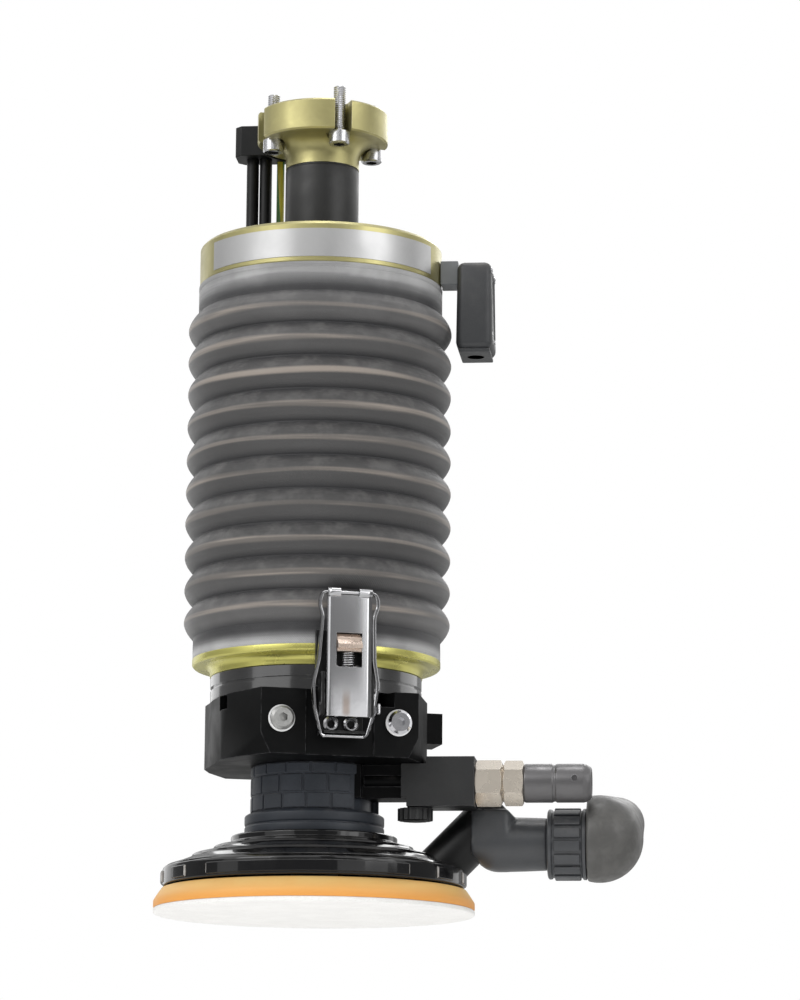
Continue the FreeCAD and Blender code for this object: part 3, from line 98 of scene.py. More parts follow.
def length(name, description, millimetres):
    return FloatProperty(name=name, description=description, subtype="DISTANCE", unit="LENGTH",
                         min=0.0, default=millimetres * MM)


class FlangeColours(PropertyGroup):
    """Colours of the finishes."""

    olive: tint("Adapter olive", "Anodised adapter and top cover", 170, 163, 113)
    lime: tint("Flange lime", "Anodised lower flange", 196, 191, 108)
    column: tint("Column", "Satin black spacer column", 36, 36, 36)
    band: tint("Label band", "Bare brushed film round the top cover", 180, 180, 180)
    bellows: tint("Bellows", "Coated fabric of the bellows", 100, 99, 99)
    valley: tint("Bellows valley", "Shaded fabric between two folds", 46, 46, 48)
    # Crest colour: partly wear, partly a painted highlight
    worn_ridge_highlight: tint("Bellows ridge", "Rubbed crest of each fold", 158, 148, 138)
    ring_black: tint("Ring black", "Gloss black tool ring and skirt", 13, 13, 15)
    block_black: tint("Block black", "Satin black clamp block", 20, 21, 22)
    grip: tint("Grip", "Blue-black rubber of the grip", 50, 55, 63)
    moulded: tint("Moulded grey", "Dust tube and valve body", 58, 60, 63)
    elbow: tint("Elbow", "Warm grey of the swivelling elbow", 80, 79, 77)
    nickel: tint("Nickel", "Warm plated hexagons", 212, 203, 190)
    steel: tint("Steel", "Screws, pins and shafts", 186, 186, 188)
    stainless: tint("Stainless", "Polished latch plates", 198, 198, 200)
    pad: tint("Pad orange", "Edge of the backing pad", 238, 168, 80)
    abrasive: tint("Abrasive", "Pale sanding disc", 244, 243, 241)
    earth_green: tint("Earth green", "Green stripe of the earth lead", 70, 128, 44)
    earth_yellow: tint("Earth yellow", "Yellow stripe of the earth lead", 206, 196, 60)


class BellowsSizes(PropertyGroup):
    """Sizes of the bellows."""

    crest: length("Crest radius", "Radius at the crest of a fold", 63.0)
    valley: length("Valley radius", "Radius between two folds", 58.3)
    pitch: length("Pitch", "Height of one fold", 15.72)
    cuff: length("Cuff", "Straight length at the top", 13.4)
    count: IntProperty(name="Folds", description="Number of folds", min=2, max=20, default=10)
    fullness: FloatProperty(name="Fullness", description="How round a fold bulges", min=1.0, max=4.0,
                            default=1.75)
    wobble: length("Wobble", "How far the fabric wanders from a true circle", 0.22)
    wall: length("Fabric", "Thickness of the coated fabric", 0.9)
    packed_share: FloatProperty(name="Packed share", description="Height left at the end of the stroke",
                                subtype="FACTOR", min=0.1, max=1.0, default=0.803)


class GripSizes(PropertyGroup):
    """Sizes of the rubber grip."""

    columns: IntProperty(name="Columns", description="Raised tiles round the grip", min=6, max=40,
                         default=16)
    gap: length("Groove", "Width of the groove between tiles", 0.95)
    proud: length("Tile height", "How far a tile stands out", 0.7)
    edge: length("Tile edge", "Rounding of a tile", 0.5)


class StageSettings(PropertyGroup):
    """Camera, floor and light."""

    lens: FloatProperty(name="Lens", description="Focal length of the camera", subtype="DISTANCE_CAMERA",
                        min=20.0, max=400.0, default=139.0)
    floor_drop: length("Floor", "Depth of the floor under the adapter face", 620.0)
    ambient: FloatProperty(name="Ambient", description="Level of the light from all round", min=0.0,
                           max=2.0, default=0.55)
    key: FloatProperty(name="Key lamp", description="Power of the large lamp", subtype="POWER", min=0.0,
                       default=20.0)
    fill: FloatProperty(name="Fill lamp", description="Power of the lamp on the other side",
                        subtype="POWER", min=0.0, default=8.0)
    top: FloatProperty(name="Top lamp", description="Power of the lamp that throws the soft shadow",
                       subtype="POWER", min=0.0, default=10.0)
    low: FloatProperty(name="Low lamp", description="Power of the lamp under the sander", subtype="POWER",
                       min=0.0, default=6.5)
    card: FloatProperty(name="Cards", description="Brightness of the cards that reflections show",
                        min=0.0, max=1.0, default=0.3)
    floor: tint("Floor colour", "Pale studio floor", 236, 236, 235)


# Shader groups

def node(tree, kind, inputs=None, **settings):
    """Adds a shader node, with its settings, and a value or a link for each named input."""
    made = tree.nodes.new("ShaderNode" + kind)
    for key, value in settings.items():
        setattr(made, key, value)
    for key, value in (inputs or {}).items():
        if isinstance(value, bpy.types.NodeSocket):
            tree.links.new(value, made.inputs[key])
        else:
            made.inputs[key].default_value = value
    return made


def maths(tree, operation, first, second=0.0):
    return node(tree, "Math", {0: first, 1: second}, operation=operation).outputs[0]


def times(tree, first, second):
    return maths(tree, "MULTIPLY", first, second)


def ramp(tree, value, low, high, to_low=0.0, to_high=1.0):
    """Goes softly from one value to another as its input goes from low to high."""
    return node(tree, "MapRange", {"Value": value, "From Min": low, "From Max": high, "To Min": to_low,
                                   "To Max": to_high}, interpolation_type="SMOOTHSTEP").outputs["Result"]


def between(tree, tone, start, end):
    """Goes straight from start to end as a tone goes from 0 to 1."""
    return node(tree, "MapRange", {"Value": tone, "To Min": start, "To Max": end}).outputs["Result"]


def noise(tree, place, scale, detail=3.0, roughness=0.5, distortion=0.0):
    return node(tree, "TexNoise", {"Vector": place, "Scale": scale, "Detail": detail, "Roughness": roughness,
                                   "Distortion": distortion}).outputs["Fac"]


def stretch(tree, place, shares):
    return node(tree, "VectorMath", {0: place, 1: Vector(shares)}, operation="MULTIPLY").outputs[0]


def parts_of(tree, vector):
    return node(tree, "SeparateXYZ", {0: vector}).outputs


def off_axis(tree, parts):
    """How far a place, given by its parts, is from the Z axis."""
    squares = [times(tree, parts[axis], parts[axis]) for axis in "XY"]
    return maths(tree, "POWER", maths(tree, "ADD", *squares), 0.5)


def blend_colour(tree, share, first, second):
    """Mixes two colours by a share. Each is a link, or a red, a green and a blue."""
    inputs = {"Factor": share}
    for key, colour in ((MIX_FIRST, first), (MIX_SECOND, second)):
        inputs[key] = colour if isinstance(colour, bpy.types.NodeSocket) else (*colour, 1.0)
    return node(tree, "Mix", inputs, data_type="RGBA").outputs[MIX_RESULT]


def shader_group(name, values, results):
    """A new shader group with a Vector and its values as inputs: its tree and its inner sockets."""
    group = bpy.data.node_groups.new(name, "ShaderNodeTree")
    group.interface.new_socket("Vector", in_out="INPUT", socket_type="NodeSocketVector")
    for label, value in values.items():
        group.interface.new_socket(label, in_out="INPUT", socket_type="NodeSocketFloat").default_value = value
    for label in results:
        group.interface.new_socket(label, in_out="OUTPUT", socket_type="NodeSocketFloat")
    return group, group.nodes.new("NodeGroupInput").outputs, group.nodes.new("NodeGroupOutput").inputs


def make_grain_group():
    """Fine grain for the bump, and a slow cloud for the colour and the roughness."""
    group, given, result = shader_group("surface_grain", {"Scale": 900.0, "Cloud": 40.0}, ("Grain", "Tone"))
    cloud = noise(group, given["Vector"], given["Cloud"], 4.0, 0.6, 0.4)
    group.links.new(noise(group, given["Vector"], given["Scale"], 3.0, 0.62), result["Grain"])
    group.links.new(ramp(group, cloud, 0.34, 0.66), result["Tone"])


def make_wear_group():
    """Marks edges, where a finish is rubbed, broken up by a noise."""
    group, given, result = shader_group("edge_wear", {"Width": 0.0004, "Breakup": 260.0}, ("Mask",))
    rounded = node(group, "Bevel", {"Radius": given["Width"]}, samples=4).outputs["Normal"]
    facing = node(group, "NewGeometry").outputs["Normal"]
    turn = node(group, "VectorMath", {0: rounded, 1: facing}, operation="DOT_PRODUCT").outputs["Value"]
    rubbed = ramp(group, noise(group, given["Vector"], given["Breakup"]), 0.36, 0.62)
    group.links.new(times(group, ramp(group, turn, 0.995, 0.86), rubbed), result["Mask"])


def make_dust_group():
    """Marks where dust settles: on what faces up, in patches."""
    group, given, result = shader_group("settled_dust", {"Amount": 0.2}, ("Mask",))
    facing = parts_of(group, node(group, "NewGeometry").outputs["Normal"])["Z"]
    patch = noise(group, given["Vector"], 85.0, 6.0, 0.7)
    lying = times(group, ramp(group, facing, -0.2, 0.9), ramp(group, patch, 0.4, 0.7))
    group.links.new(times(group, lying, given["Amount"]), result["Mask"])


def make_turning_group():
    """Tool lines of a lathe: rings round the Z axis of the given coordinates."""
    group, given, result = shader_group("turning_lines", {"Pitch": 0.0006}, ("Height",))
    parts = parts_of(group, given["Vector"])
    run = maths(group, "ADD", off_axis(group, parts), parts["Z"])
    phase = maths(group, "DIVIDE", run, given["Pitch"])
    uneven = node(group, "TexNoise", {"W": phase, "Scale": 0.7, "Detail": 3.0}, noise_dimensions="1D")
    group.links.new(uneven.outputs["Fac"], result["Height"])


def make_weave_group():
    """Cloth under a coating, woven round the Z axis, with streaks that follow the folds."""
    group, given, result = shader_group("coated_weave", {"Radius": 0.06, "Thread": 0.0011},
                                        ("Height", "Streak", "Across"))
    parts = parts_of(group, given["Vector"])
    angle = maths(group, "ARCTAN2", parts["Y"], parts["X"])
    waves = []
    for run in (times(group, angle, given["Radius"]), parts["Z"]):
        turns = times(group, maths(group, "DIVIDE", run, given["Thread"]), FULL_TURN)
        waves.append(maths(group, "SINE", turns))
    streaks = noise(group, stretch(group, given["Vector"], (9, 9, 240)), 1.0, 4.0, 0.6)
    group.links.new(times(group, *waves), result["Height"])
    group.links.new(ramp(group, streaks, 0.34, 0.68), result["Streak"])
    group.links.new(off_axis(group, parts), result["Across"])


def use_group(tree, name, **inputs):
    return node(tree, "Group", inputs, node_tree=bpy.data.node_groups[name]).outputs


# Finishes

def darker(colour, share):
    return tuple(channel * share for channel in colour)


def new_finish(name, **constants):
    """A material with its constant values: its tree, its shader and its object coordinates."""
    made = bpy.data.materials.new(name)
    made.use_nodes = True
    tree = made.node_tree
    shader = tree.nodes["Principled BSDF"]
    for label, value in constants.items():
        shader.inputs[label.replace("_", " ")].default_value = value
    return tree, shader, node(tree, "TexCoord").outputs["Object"]


def about(tree, place, centre, turn=(0, 0, 0)):
    """Object coordinates with a piece's own axis as their Z axis."""
    moved = node(tree, "VectorMath", {0: place, 1: Vector(centre) * MM}, operation="SUBTRACT")
    return node(tree, "VectorRotate", {"Vector": moved.outputs[0], "Rotation": turn},
                rotation_type="EULER_XYZ").outputs[0]


def grain_of(tree, place, scale, cloud):
    return use_group(tree, "surface_grain", Vector=place, Scale=scale, Cloud=cloud)


def rubbed_edges(tree, place, width, strength):
    return times(tree, use_group(tree, "edge_wear", Vector=place, Width=width * MM)["Mask"], strength)


def dust_on(tree, place, amount):
    return use_group(tree, "settled_dust", Vector=place, Amount=amount)["Mask"]


def bump(tree, height, depth, below=None, strength=0.8):
    """A bump with a depth in millimetres, on top of the one below it."""
    inputs = {"Height": height, "Distance": depth * MM, "Strength": strength}
    if below is not None:
        inputs["Normal"] = below
    return node(tree, "Bump", inputs).outputs["Normal"]


def connect(tree, shader, colour, normal, roughness=None):
    """Links to the shader what changes over a surface."""
    tree.links.new(colour, shader.inputs["Base Color"])
    tree.links.new(normal, shader.inputs["Normal"])
    if roughness is not None:
        tree.links.new(roughness, shader.inputs["Roughness"])


def surface_finish(name, colour, roughness, shade=0.8, spread=0.06, grain=(900.0, 0.02), cloud=40.0,
                   wear=None, dust=0.0, lines=None, centre=(0, 0, 0), turn=(0, 0, 0), **constants):
    """A finish of one colour: cloudy tone, grain, rubbed edges, dust and, where turned, tool lines.

    grain is its scale and depth in millimetres, wear its width in millimetres, strength and colour,
    and lines the pitch and depth of the tool lines in millimetres.
    """
    tree, shader, place = new_finish(name, **constants)
    surface = grain_of(tree, place, grain[0], cloud)
    base = blend_colour(tree, surface["Tone"], darker(colour, shade), colour)
    rough = between(tree, surface["Tone"], roughness + spread, roughness - spread)
    if wear:
        width, strength, bright = wear
        base = blend_colour(tree, rubbed_edges(tree, place, width, strength), base, bright)
    if dust:
        lying = dust_on(tree, place, dust)
        base = blend_colour(tree, lying, base, paint(150, 146, 140))
        rough = maths(tree, "ADD", rough, times(tree, lying, 0.5))
    normal = bump(tree, surface["Grain"], grain[1])
    if lines:
        own = about(tree, place, centre, turn)
        rings = use_group(tree, "turning_lines", Vector=own, Pitch=lines[0] * MM)
        normal = bump(tree, rings["Height"], lines[1], normal)
    connect(tree, shader, base, normal, rough)


def bowed_steel_finish(colours):
    """Polished sheet of the latches: brushed along its length, bowed a little, and tinted by heat."""
    bow_across, bow_along, edge_roll, flat_half = -4.4, -1.2, -380.0, 8.4 * MM
    tree, shader, place = new_finish("polished_stainless", Metallic=1.0)
    own = about(tree, place, (0, 0, -278), (0, 0, math.radians(-LATCH_ANGLE)))
    parts = parts_of(tree, own)
    across, along = (times(tree, parts[axis], parts[axis]) for axis in "XZ")
    bow = maths(tree, "ADD", times(tree, across, bow_across), times(tree, along, bow_along))
    past_flat = maths(tree, "SUBTRACT", maths(tree, "ABSOLUTE", parts["X"]), flat_half)
    rolled = maths(tree, "POWER", maths(tree, "MAXIMUM", past_flat, 0.0), 2.0)
    bow = maths(tree, "ADD", bow, times(tree, rolled, edge_roll))
    brushed = noise(tree, stretch(tree, own, (1, 1, 0.05)), 1500.0)
    tone = times(tree, maths(tree, "ADD", grain_of(tree, place, 320.0, 60.0)["Tone"], brushed), 0.5)
    base = blend_colour(tree, tone, darker(colours.stainless, 0.8), colours.stainless)
    aside = maths(tree, "ABSOLUTE", maths(tree, "ADD", parts["X"], 1.2 * MM))
    heated = times(tree, ramp(tree, aside, 2.6 * MM, 0.6 * MM), ramp(tree, parts["Z"], -10 * MM, -18 * MM))
    heated = times(tree, heated, ramp(tree, parts["Z"], -26 * MM, -22 * MM))
    base = blend_colour(tree, times(tree, heated, 0.68), base, paint(146, 128, 114))
    base = blend_colour(tree, rubbed_edges(tree, place, 0.35, 0.8), base, paint(240, 240, 242))
    bowed = bump(tree, bow, 1 / MM, strength=1.0)
    connect(tree, shader, base, bump(tree, brushed, 0.004, bowed), between(tree, tone, 0.19, 0.11))


def bellows_finish(colours, sizes):
    """Coated cloth: painted shade in the valleys, worn crests with a painted highlight, a painted highlight
    that pales the cuff at each end, streaks along the folds and a fine weave.
    """
    tree, shader, place = new_finish("coated_bellows_cloth", Sheen_Weight=0.25, Sheen_Roughness=0.4,
                                     Specular_IOR_Level=0.4)
    surface = grain_of(tree, place, 700.0, 26.0)
    weave = use_group(tree, "coated_weave", Vector=place)
    height = parts_of(tree, place)["Z"]
    top, low = BELLOWS_TOP * MM, BELLOWS_LOW * MM
    tone = times(tree, maths(tree, "ADD", weave["Streak"], surface["Tone"]), 0.5)
    cloth = blend_colour(tree, tone, darker(colours.bellows, 0.66), colours.bellows)
    middle = times(tree, ramp(tree, height, top - 10.5 * MM, top - 52.5 * MM),
                   ramp(tree, height, low + 9.6 * MM, low + 42.6 * MM))
    cloth = blend_colour(tree, times(tree, middle, 0.8), cloth, darker(colours.bellows, 0.36))
    # Painted shade in the valleys: as the radius falls towards the valley, the cloth turns to the shaded
    # valley colour.
    depth = ramp(tree, weave["Across"], sizes.valley - 0.3 * MM, sizes.crest - 1.6 * MM)
    base = blend_colour(tree, depth, colours.valley, cloth)
    # Painted highlight at each end: near the top cover and near the foot the cloth turns pale grey, as if
    # lit.
    cuff_highlight = maths(tree, "MAXIMUM", ramp(tree, height, top - 12.5 * MM, top - 3.5 * MM),
                  ramp(tree, height, low + 7.1 * MM, low + 1.1 * MM))
    pale = times(tree, cuff_highlight, ramp(tree, tone, 0.0, 1.0, 0.45, 0.9))
    base = blend_colour(tree, pale, base, paint(186, 186, 186))
    # Worn crests with a painted highlight: at the crest radius the cloth turns to the paler crest colour,
    # broken up by the streaks.
    crest = ramp(tree, weave["Across"], sizes.crest - 0.5 * MM, sizes.crest - 0.08 * MM)
    rubbed = times(tree, crest, ramp(tree, weave["Streak"], 0.0, 1.0, 0.25, 0.85))
    base = blend_colour(tree, rubbed, base, colours.worn_ridge_highlight)
    base = blend_colour(tree, dust_on(tree, place, 0.35), base, paint(150, 148, 146))
    relief = maths(tree, "ADD", times(tree, weave["Height"], 0.3), weave["Streak"])
    normal = bump(tree, surface["Grain"], 0.03, bump(tree, relief, 0.16))
    connect(tree, shader, base, normal, between(tree, tone, 0.68, 0.5))


def earth_lead_finish(colours):
    """Green insulation with yellow stripes that wind slowly round the lead."""
    twist, stripes = 40.0, 2.0
    tree, shader, place = new_finish("striped_lead", Roughness=0.42)
    parts = parts_of(tree, about(tree, place, (-23.6, 25.4, 0)))
    angle = maths(tree, "ARCTAN2", parts["Y"], parts["X"])
    wound = times(tree, maths(tree, "ADD", angle, times(tree, parts["Z"], twist)), stripes)
    surface = grain_of(tree, place, 1500.0, 90.0)
    stripe = ramp(tree, maths(tree, "SINE", wound), -0.12, 0.12)
    base = blend_colour(tree, stripe, colours.earth_green, colours.earth_yellow)
    base = blend_colour(tree, times(tree, surface["Tone"], 0.25), base, paint(60, 66, 40))
    connect(tree, shader, base, bump(tree, surface["Grain"], 0.01))


def pad_finish(colours):
    """Moulded foam, pitted, and paler towards the top of the rim."""
    tree, shader, place = new_finish("orange_pad_foam", Specular_IOR_Level=0.35)
    surface = grain_of(tree, place, 620.0, 34.0)
    rise = ramp(tree, parts_of(tree, place)["Z"], PAD_UNDERSIDE * MM, (PAD_UNDERSIDE + 8.4) * MM)
    base = blend_colour(tree, rise, paint(230, 158, 74), paint(240, 198, 122))
    base = blend_colour(tree, times(tree, surface["Tone"], 0.3), base, colours.pad)
    rough = between(tree, surface["Tone"], 0.62, 0.48)
    connect(tree, shader, base, bump(tree, surface["Grain"], 0.12), rough)


def abrasive_finish(colours):
    """Pale paper backing with closely set grit."""
    tree, shader, place = new_finish("pale_abrasive", Roughness=0.85)
    surface = grain_of(tree, place, 1600.0, 60.0)
    grit = node(tree, "TexVoronoi", {"Vector": place, "Scale": 2400.0}).outputs["Distance"]
    base = blend_colour(tree, surface["Tone"], darker(colours.abrasive, 0.95), colours.abrasive)
    base = blend_colour(tree, ramp(tree, grit, 0.12, 0.32), paint(196, 190, 180), base)
    connect(tree, shader, base, bump(tree, maths(tree, "ADD", surface["Grain"], grit), 0.08))


def make_finishes(colours, sizes):
    """All materials, one for each finish of the real part."""
    bright = paint(214, 208, 176)
    bare = paint(190, 190, 192)
    rubbed = paint(104, 104, 106)
    along_inlet = {"centre": INLET_AXIS, "turn": (0, math.pi / 2, 0)}
    along_dust = {"centre": DUST_AXIS, "turn": (0, math.pi / 2, 0)}
    surface_finish("anodised_olive_aluminium", colours.olive, 0.36, wear=(0.5, 0.7, bright),
                   lines=(0.5, 0.012), dust=0.12, Metallic=0.75)
    surface_finish("anodised_lime_aluminium", colours.lime, 0.3, shade=0.92, grain=(1400.0, 0.003),
                   lines=(0.5, 0.002), Metallic=0.7)
    surface_finish("satin_black_column", colours.column, 0.42, wear=(0.4, 0.6, rubbed), dust=0.15,
                   lines=(0.7, 0.012), Metallic=0.2, Specular_IOR_Level=0.4)
    surface_finish("bare_silver_band", colours.band, 0.34, shade=0.9, grain=(500.0, 0.01),
                   wear=(0.3, 0.5, bare), dust=0.15, lines=(0.25, 0.004), Metallic=0.6)
    surface_finish("gloss_black_ring", colours.ring_black, 0.2, spread=0.05, wear=(0.4, 0.5, rubbed),
                   dust=0.05, lines=(0.5, 0.004), Specular_IOR_Level=1.0, Coat_Weight=1.0,
                   Coat_Roughness=0.06)
    surface_finish("gloss_black_skirt", colours.ring_black, 0.16, spread=0.05, grain=(500.0, 0.006),
                   wear=(0.4, 0.35, rubbed), dust=0.08, Specular_IOR_Level=0.1, Coat_Weight=0.62,
                   Coat_Roughness=0.04)
    # Pale coated colour: a painted highlight that stands for the reflections in the rounded ends of the rim
    # pads
    surface_finish("pad_end_painted_highlight", paint(190, 186, 182), 0.3, shade=0.6, cloud=300.0, Coat_Weight=0.6)
    surface_finish("satin_black_block", darker(colours.block_black, 0.4), 0.46, wear=(0.6, 0.5, rubbed),
                   dust=0.08, grain=(1100.0, 0.03), Specular_IOR_Level=0.08)
    surface_finish("black_pressed_steel", darker(colours.block_black, 0.6), 0.38, wear=(0.4, 0.6, bare),
                   dust=0.1, Specular_IOR_Level=0.3)
    surface_finish("blue_black_grip_rubber", colours.grip, 0.56, shade=0.78, grain=(1400.0, 0.05),
                   wear=(0.5, 0.35, rubbed), dust=0.22, Specular_IOR_Level=0.35, Sheen_Weight=0.1)
    surface_finish("blue_black_collar", colours.grip, 0.44, shade=0.8, grain=(1000.0, 0.03),
                   wear=(0.6, 0.35, rubbed), dust=0.15, Specular_IOR_Level=0.3)
    surface_finish("matt_valve_body", colours.block_black, 0.5, grain=(1300.0, 0.04), dust=0.2,
                   wear=(0.5, 0.5, rubbed))
    surface_finish("moulded_dust_tube", colours.moulded, 0.42, shade=0.8, grain=(800.0, 0.03), dust=0.2,
                   wear=(0.5, 0.3, rubbed), lines=(2.4, 0.01), **along_dust)
    surface_finish("mottled_elbow_plastic", colours.elbow, 0.46, shade=0.8, cloud=150.0,
                   grain=(700.0, 0.05), dust=0.15)
    surface_finish("side_box_plastic", darker(colours.moulded, 0.6), 0.5, grain=(1200.0, 0.05),
                   wear=(0.6, 0.3, rubbed), dust=0.25)
    surface_finish("black_line", darker(colours.block_black, 0.5), 0.4, grain=(900.0, 0.01), dust=0.15,
                   wear=(0.3, 0.2, rubbed), Specular_IOR_Level=0.25)
    surface_finish("warm_nickel", colours.nickel, 0.26, shade=0.9, grain=(600.0, 0.004), cloud=120.0,
                   wear=(0.3, 0.6, paint(236, 232, 226)), lines=(0.35, 0.006), Metallic=0.6, **along_inlet)
    surface_finish("grey_coupling_sleeve", paint(103, 102, 103), 0.36, shade=0.85,
                   wear=(0.4, 0.6, bare), lines=(0.4, 0.01), Metallic=0.55, **along_inlet)
    surface_finish("plated_screw_steel", colours.steel, 0.26, shade=0.8, cloud=220.0,
                   wear=(0.3, 0.6, paint(226, 226, 228)), Metallic=1.0)
    surface_finish("dull_zinc_screw", paint(168, 168, 166), 0.4, shade=0.78, cloud=300.0,
                   grain=(1500.0, 0.03), wear=(0.3, 0.5, paint(214, 214, 214)), Metallic=0.9)
    bowed_steel_finish(colours)
    surface_finish("brown_tinted_catch", paint(206, 188, 174), 0.3, shade=0.88, cloud=160.0,
                   wear=(0.35, 0.7, paint(236, 232, 226)), Metallic=0.9)
    surface_finish("bright_chrome", paint(214, 214, 218), 0.1, shade=0.88, spread=0.03, cloud=200.0,
                   grain=(400.0, 0.003), Metallic=1.0)
    surface_finish("turned_aluminium", paint(190, 190, 192), 0.34, shade=0.88, lines=(0.5, 0.012),
                   wear=(0.4, 0.5, paint(226, 226, 226)), Metallic=0.9)
    surface_finish("ground_steel_bar", paint(176, 177, 180), 0.2, shade=0.9, lines=(0.2, 0.003),
                   wear=(0.3, 0.5, paint(220, 220, 222)), Metallic=1.0)
    surface_finish("sintered_bronze", paint(176, 132, 74), 0.46, shade=0.75, cloud=260.0,
                   grain=(1800.0, 0.05), wear=(0.3, 0.5, paint(220, 184, 126)), Metallic=0.8)
    surface_finish("black_seal_rubber", paint(30, 30, 31), 0.6, shade=0.8, grain=(1300.0, 0.03), dust=0.1)
    surface_finish("green_board_lacquer", paint(28, 92, 52), 0.3, shade=0.7, cloud=420.0,
                   grain=(600.0, 0.02), wear=(0.3, 0.6, paint(200, 170, 90)))
    surface_finish("grey_valve_plastic", paint(120, 123, 126), 0.45, shade=0.86, grain=(1200.0, 0.04),
                   wear=(0.4, 0.4, bare), dust=0.15)
    # Near-black painted shade for the insides of key holes and eyelet holes
    surface_finish("bore_painted_shade", paint(9, 9, 10), 0.7, shade=0.7, grain=(900.0, 0.02))
    bellows_finish(colours, sizes)
    earth_lead_finish(colours)
    pad_finish(colours)
    abrasive_finish(colours)


# Modelling helpers: sizes in millimetres, angles in degrees

def work_on(made):
    """Makes one object the only selected and active one."""
    bpy.ops.object.select_all(action="DESELECT")
    made.select_set(True)
    bpy.context.view_layer.objects.active = made


def bake_place(made):
    """Keeps the place, turn and size of the selected piece in its mesh."""
    bpy.ops.object.transform_apply(location=True, rotation=True, scale=True)
    return made


def start_with(add, name, **settings):
    """Adds one of Blender's primitives, with nothing else selected."""
    bpy.ops.object.select_all(action="DESELECT")
    add(**settings)
    made = bpy.context.object
    made.name = name
    return made


def edit(made):
    work_on(made)
    bpy.ops.object.mode_set(mode="EDIT")
    bpy.ops.mesh.select_all(action="SELECT")


def leave_edit():
    bpy.ops.object.mode_set(mode="OBJECT")
    return bpy.context.object


def close_up(merge=0.0005):
    """Merges doubles and points all faces of the selected shell outwards."""
    bpy.ops.mesh.select_all(action="SELECT")
    bpy.ops.mesh.remove_doubles(threshold=merge * MM)
    bpy.ops.mesh.normals_make_consistent(inside=False)


def settle(made, place=(0, 0, 0), turn=(0, 0, 0)):
    """Moves and turns a piece, and keeps that in its mesh."""
    work_on(made)
    made.location = Vector(place) * MM
    made.rotation_euler = [math.radians(angle) for angle in turn]
    return bake_place(made)


def select_faces(made, test):
    """Selects, in edit mode, the faces whose centre (mm) and normal pass a test."""
    bpy.ops.mesh.select_mode(type="FACE")
    bpy.ops.mesh.select_all(action="DESELECT")
    bpy.ops.object.mode_set(mode="OBJECT")
    for face in made.data.polygons:
        face.select = test(face.center / MM, face.normal)
    bpy.ops.object.mode_set(mode="EDIT")


def chain(name, points, ease=0.0, closed=False):
    """Draws a line from point to point with one vertex, rounds its corners, and stays in edit mode."""
    points = [Vector(point) * MM for point in points]
    if closed:
        points.append(points[0])
    made = start_with(bpy.ops.mesh.primitive_plane_add, name, size=MM)
    bpy.ops.object.mode_set(mode="EDIT")
    bpy.ops.mesh.select_mode(type="VERT")
    bpy.ops.mesh.merge(type="CENTER")
    bpy.ops.transform.translate(value=points[0])
    for here, there in zip(points, points[1:]):
        bpy.ops.mesh.extrude_region_move(TRANSFORM_OT_translate={"value": there - here})
    bpy.ops.mesh.select_all(action="SELECT")
    if closed:
        bpy.ops.mesh.remove_doubles(threshold=0.001 * MM)
    if ease:
        bpy.ops.mesh.bevel(offset=ease * MM, segments=3, affect="VERTICES")
    bpy.ops.mesh.select_all(action="SELECT")
    return made


def smooth(made, angle=34):
    work_on(made)
    bpy.ops.object.shade_smooth_by_angle(angle=math.radians(angle))
    return made


def turned(name, profile, ease=0.0, steps=72, open_ended=False, base=(0, 0, 0), turn=(0, 0, 0)):
    """A turned piece: a (radius, height) profile spun round the Z axis, then placed.

    A profile that starts off the axis is closed to a ring, unless it is open-ended.
    """
    ring = profile[0][0] > 0 and not open_ended
    made = chain(name, [(radius, 0, height) for radius, height in profile], ease, ring)
    bpy.ops.mesh.spin(steps=steps, angle=FULL_TURN, center=(0, 0, 0), axis=AXIS_Z)
    close_up()
    leave_edit()
    return smooth(settle(made, base, turn))


def arc_block(name, profile, start, sweep, steps=5, edge=0.3):
    """A closed (radius, height) profile swept round the Z axis through part of a turn."""
    made = chain(name, [(radius, 0, height) for radius, height in profile], closed=True)
    bpy.ops.mesh.edge_face_add()
    bpy.ops.mesh.spin(steps=steps, angle=math.radians(sweep), center=(0, 0, 0), axis=-AXIS_Z)
    close_up()
    leave_edit()
    settle(made, turn=(0, 0, start))
    return soften(made, edge)


def apply_modifier(made, kind, **settings):
    work_on(made)
    modifier = made.modifiers.new(kind.lower(), kind)
    for key, value in settings.items():
        setattr(modifier, key, value)
    bpy.ops.object.modifier_apply(modifier=modifier.name)
    return made


def soften(made, width, segments=2, sharp_angle=38):
    """Rounds the sharp edges, and keeps the flat faces flat in the light."""
    smooth(made)
    return apply_modifier(made, "BEVEL", width=width * MM, segments=segments, limit_method="ANGLE",
                          angle_limit=math.radians(sharp_angle), harden_normals=True,
                          use_clamp_overlap=True)


def merged_node(node_name, name):
    """A copy of a CAD node with its triangles merged into faces."""
    mesh = NODES[node_name].data.copy()
    mesh.materials.clear()
    made = bpy.data.objects.new(name, mesh)
    bpy.context.scene.collection.objects.link(made)
    work_on(made)
    if mesh.has_custom_normals:
        bpy.ops.mesh.customdata_custom_splitnormals_clear()
    edit(made)
    bpy.ops.mesh.remove_doubles(threshold=0.001 * MM)
    bpy.ops.mesh.dissolve_limited(angle_limit=math.radians(0.4))
    return leave_edit()


def eased_node(node_name, name, width, segments=2):
    """A copy of a CAD node with its edges rounded."""
    return soften(merged_node(node_name, name), width, segments)


def slant(made, width, test):
    """Takes a slanting flat off the edges whose middle (mm) passes a test."""
    edit(made)
    bpy.ops.mesh.select_mode(type="EDGE")
    bpy.ops.mesh.select_all(action="DESELECT")
    bpy.ops.object.mode_set(mode="OBJECT")
    corners = made.data.vertices
    for edge in made.data.edges:
        first, last = (corners[index].co / MM for index in edge.vertices)
        edge.select = test((first + last) / 2)
    bpy.ops.object.mode_set(mode="EDIT")
    bpy.ops.mesh.bevel(offset=width * MM, segments=1, affect="EDGES")
    return leave_edit()


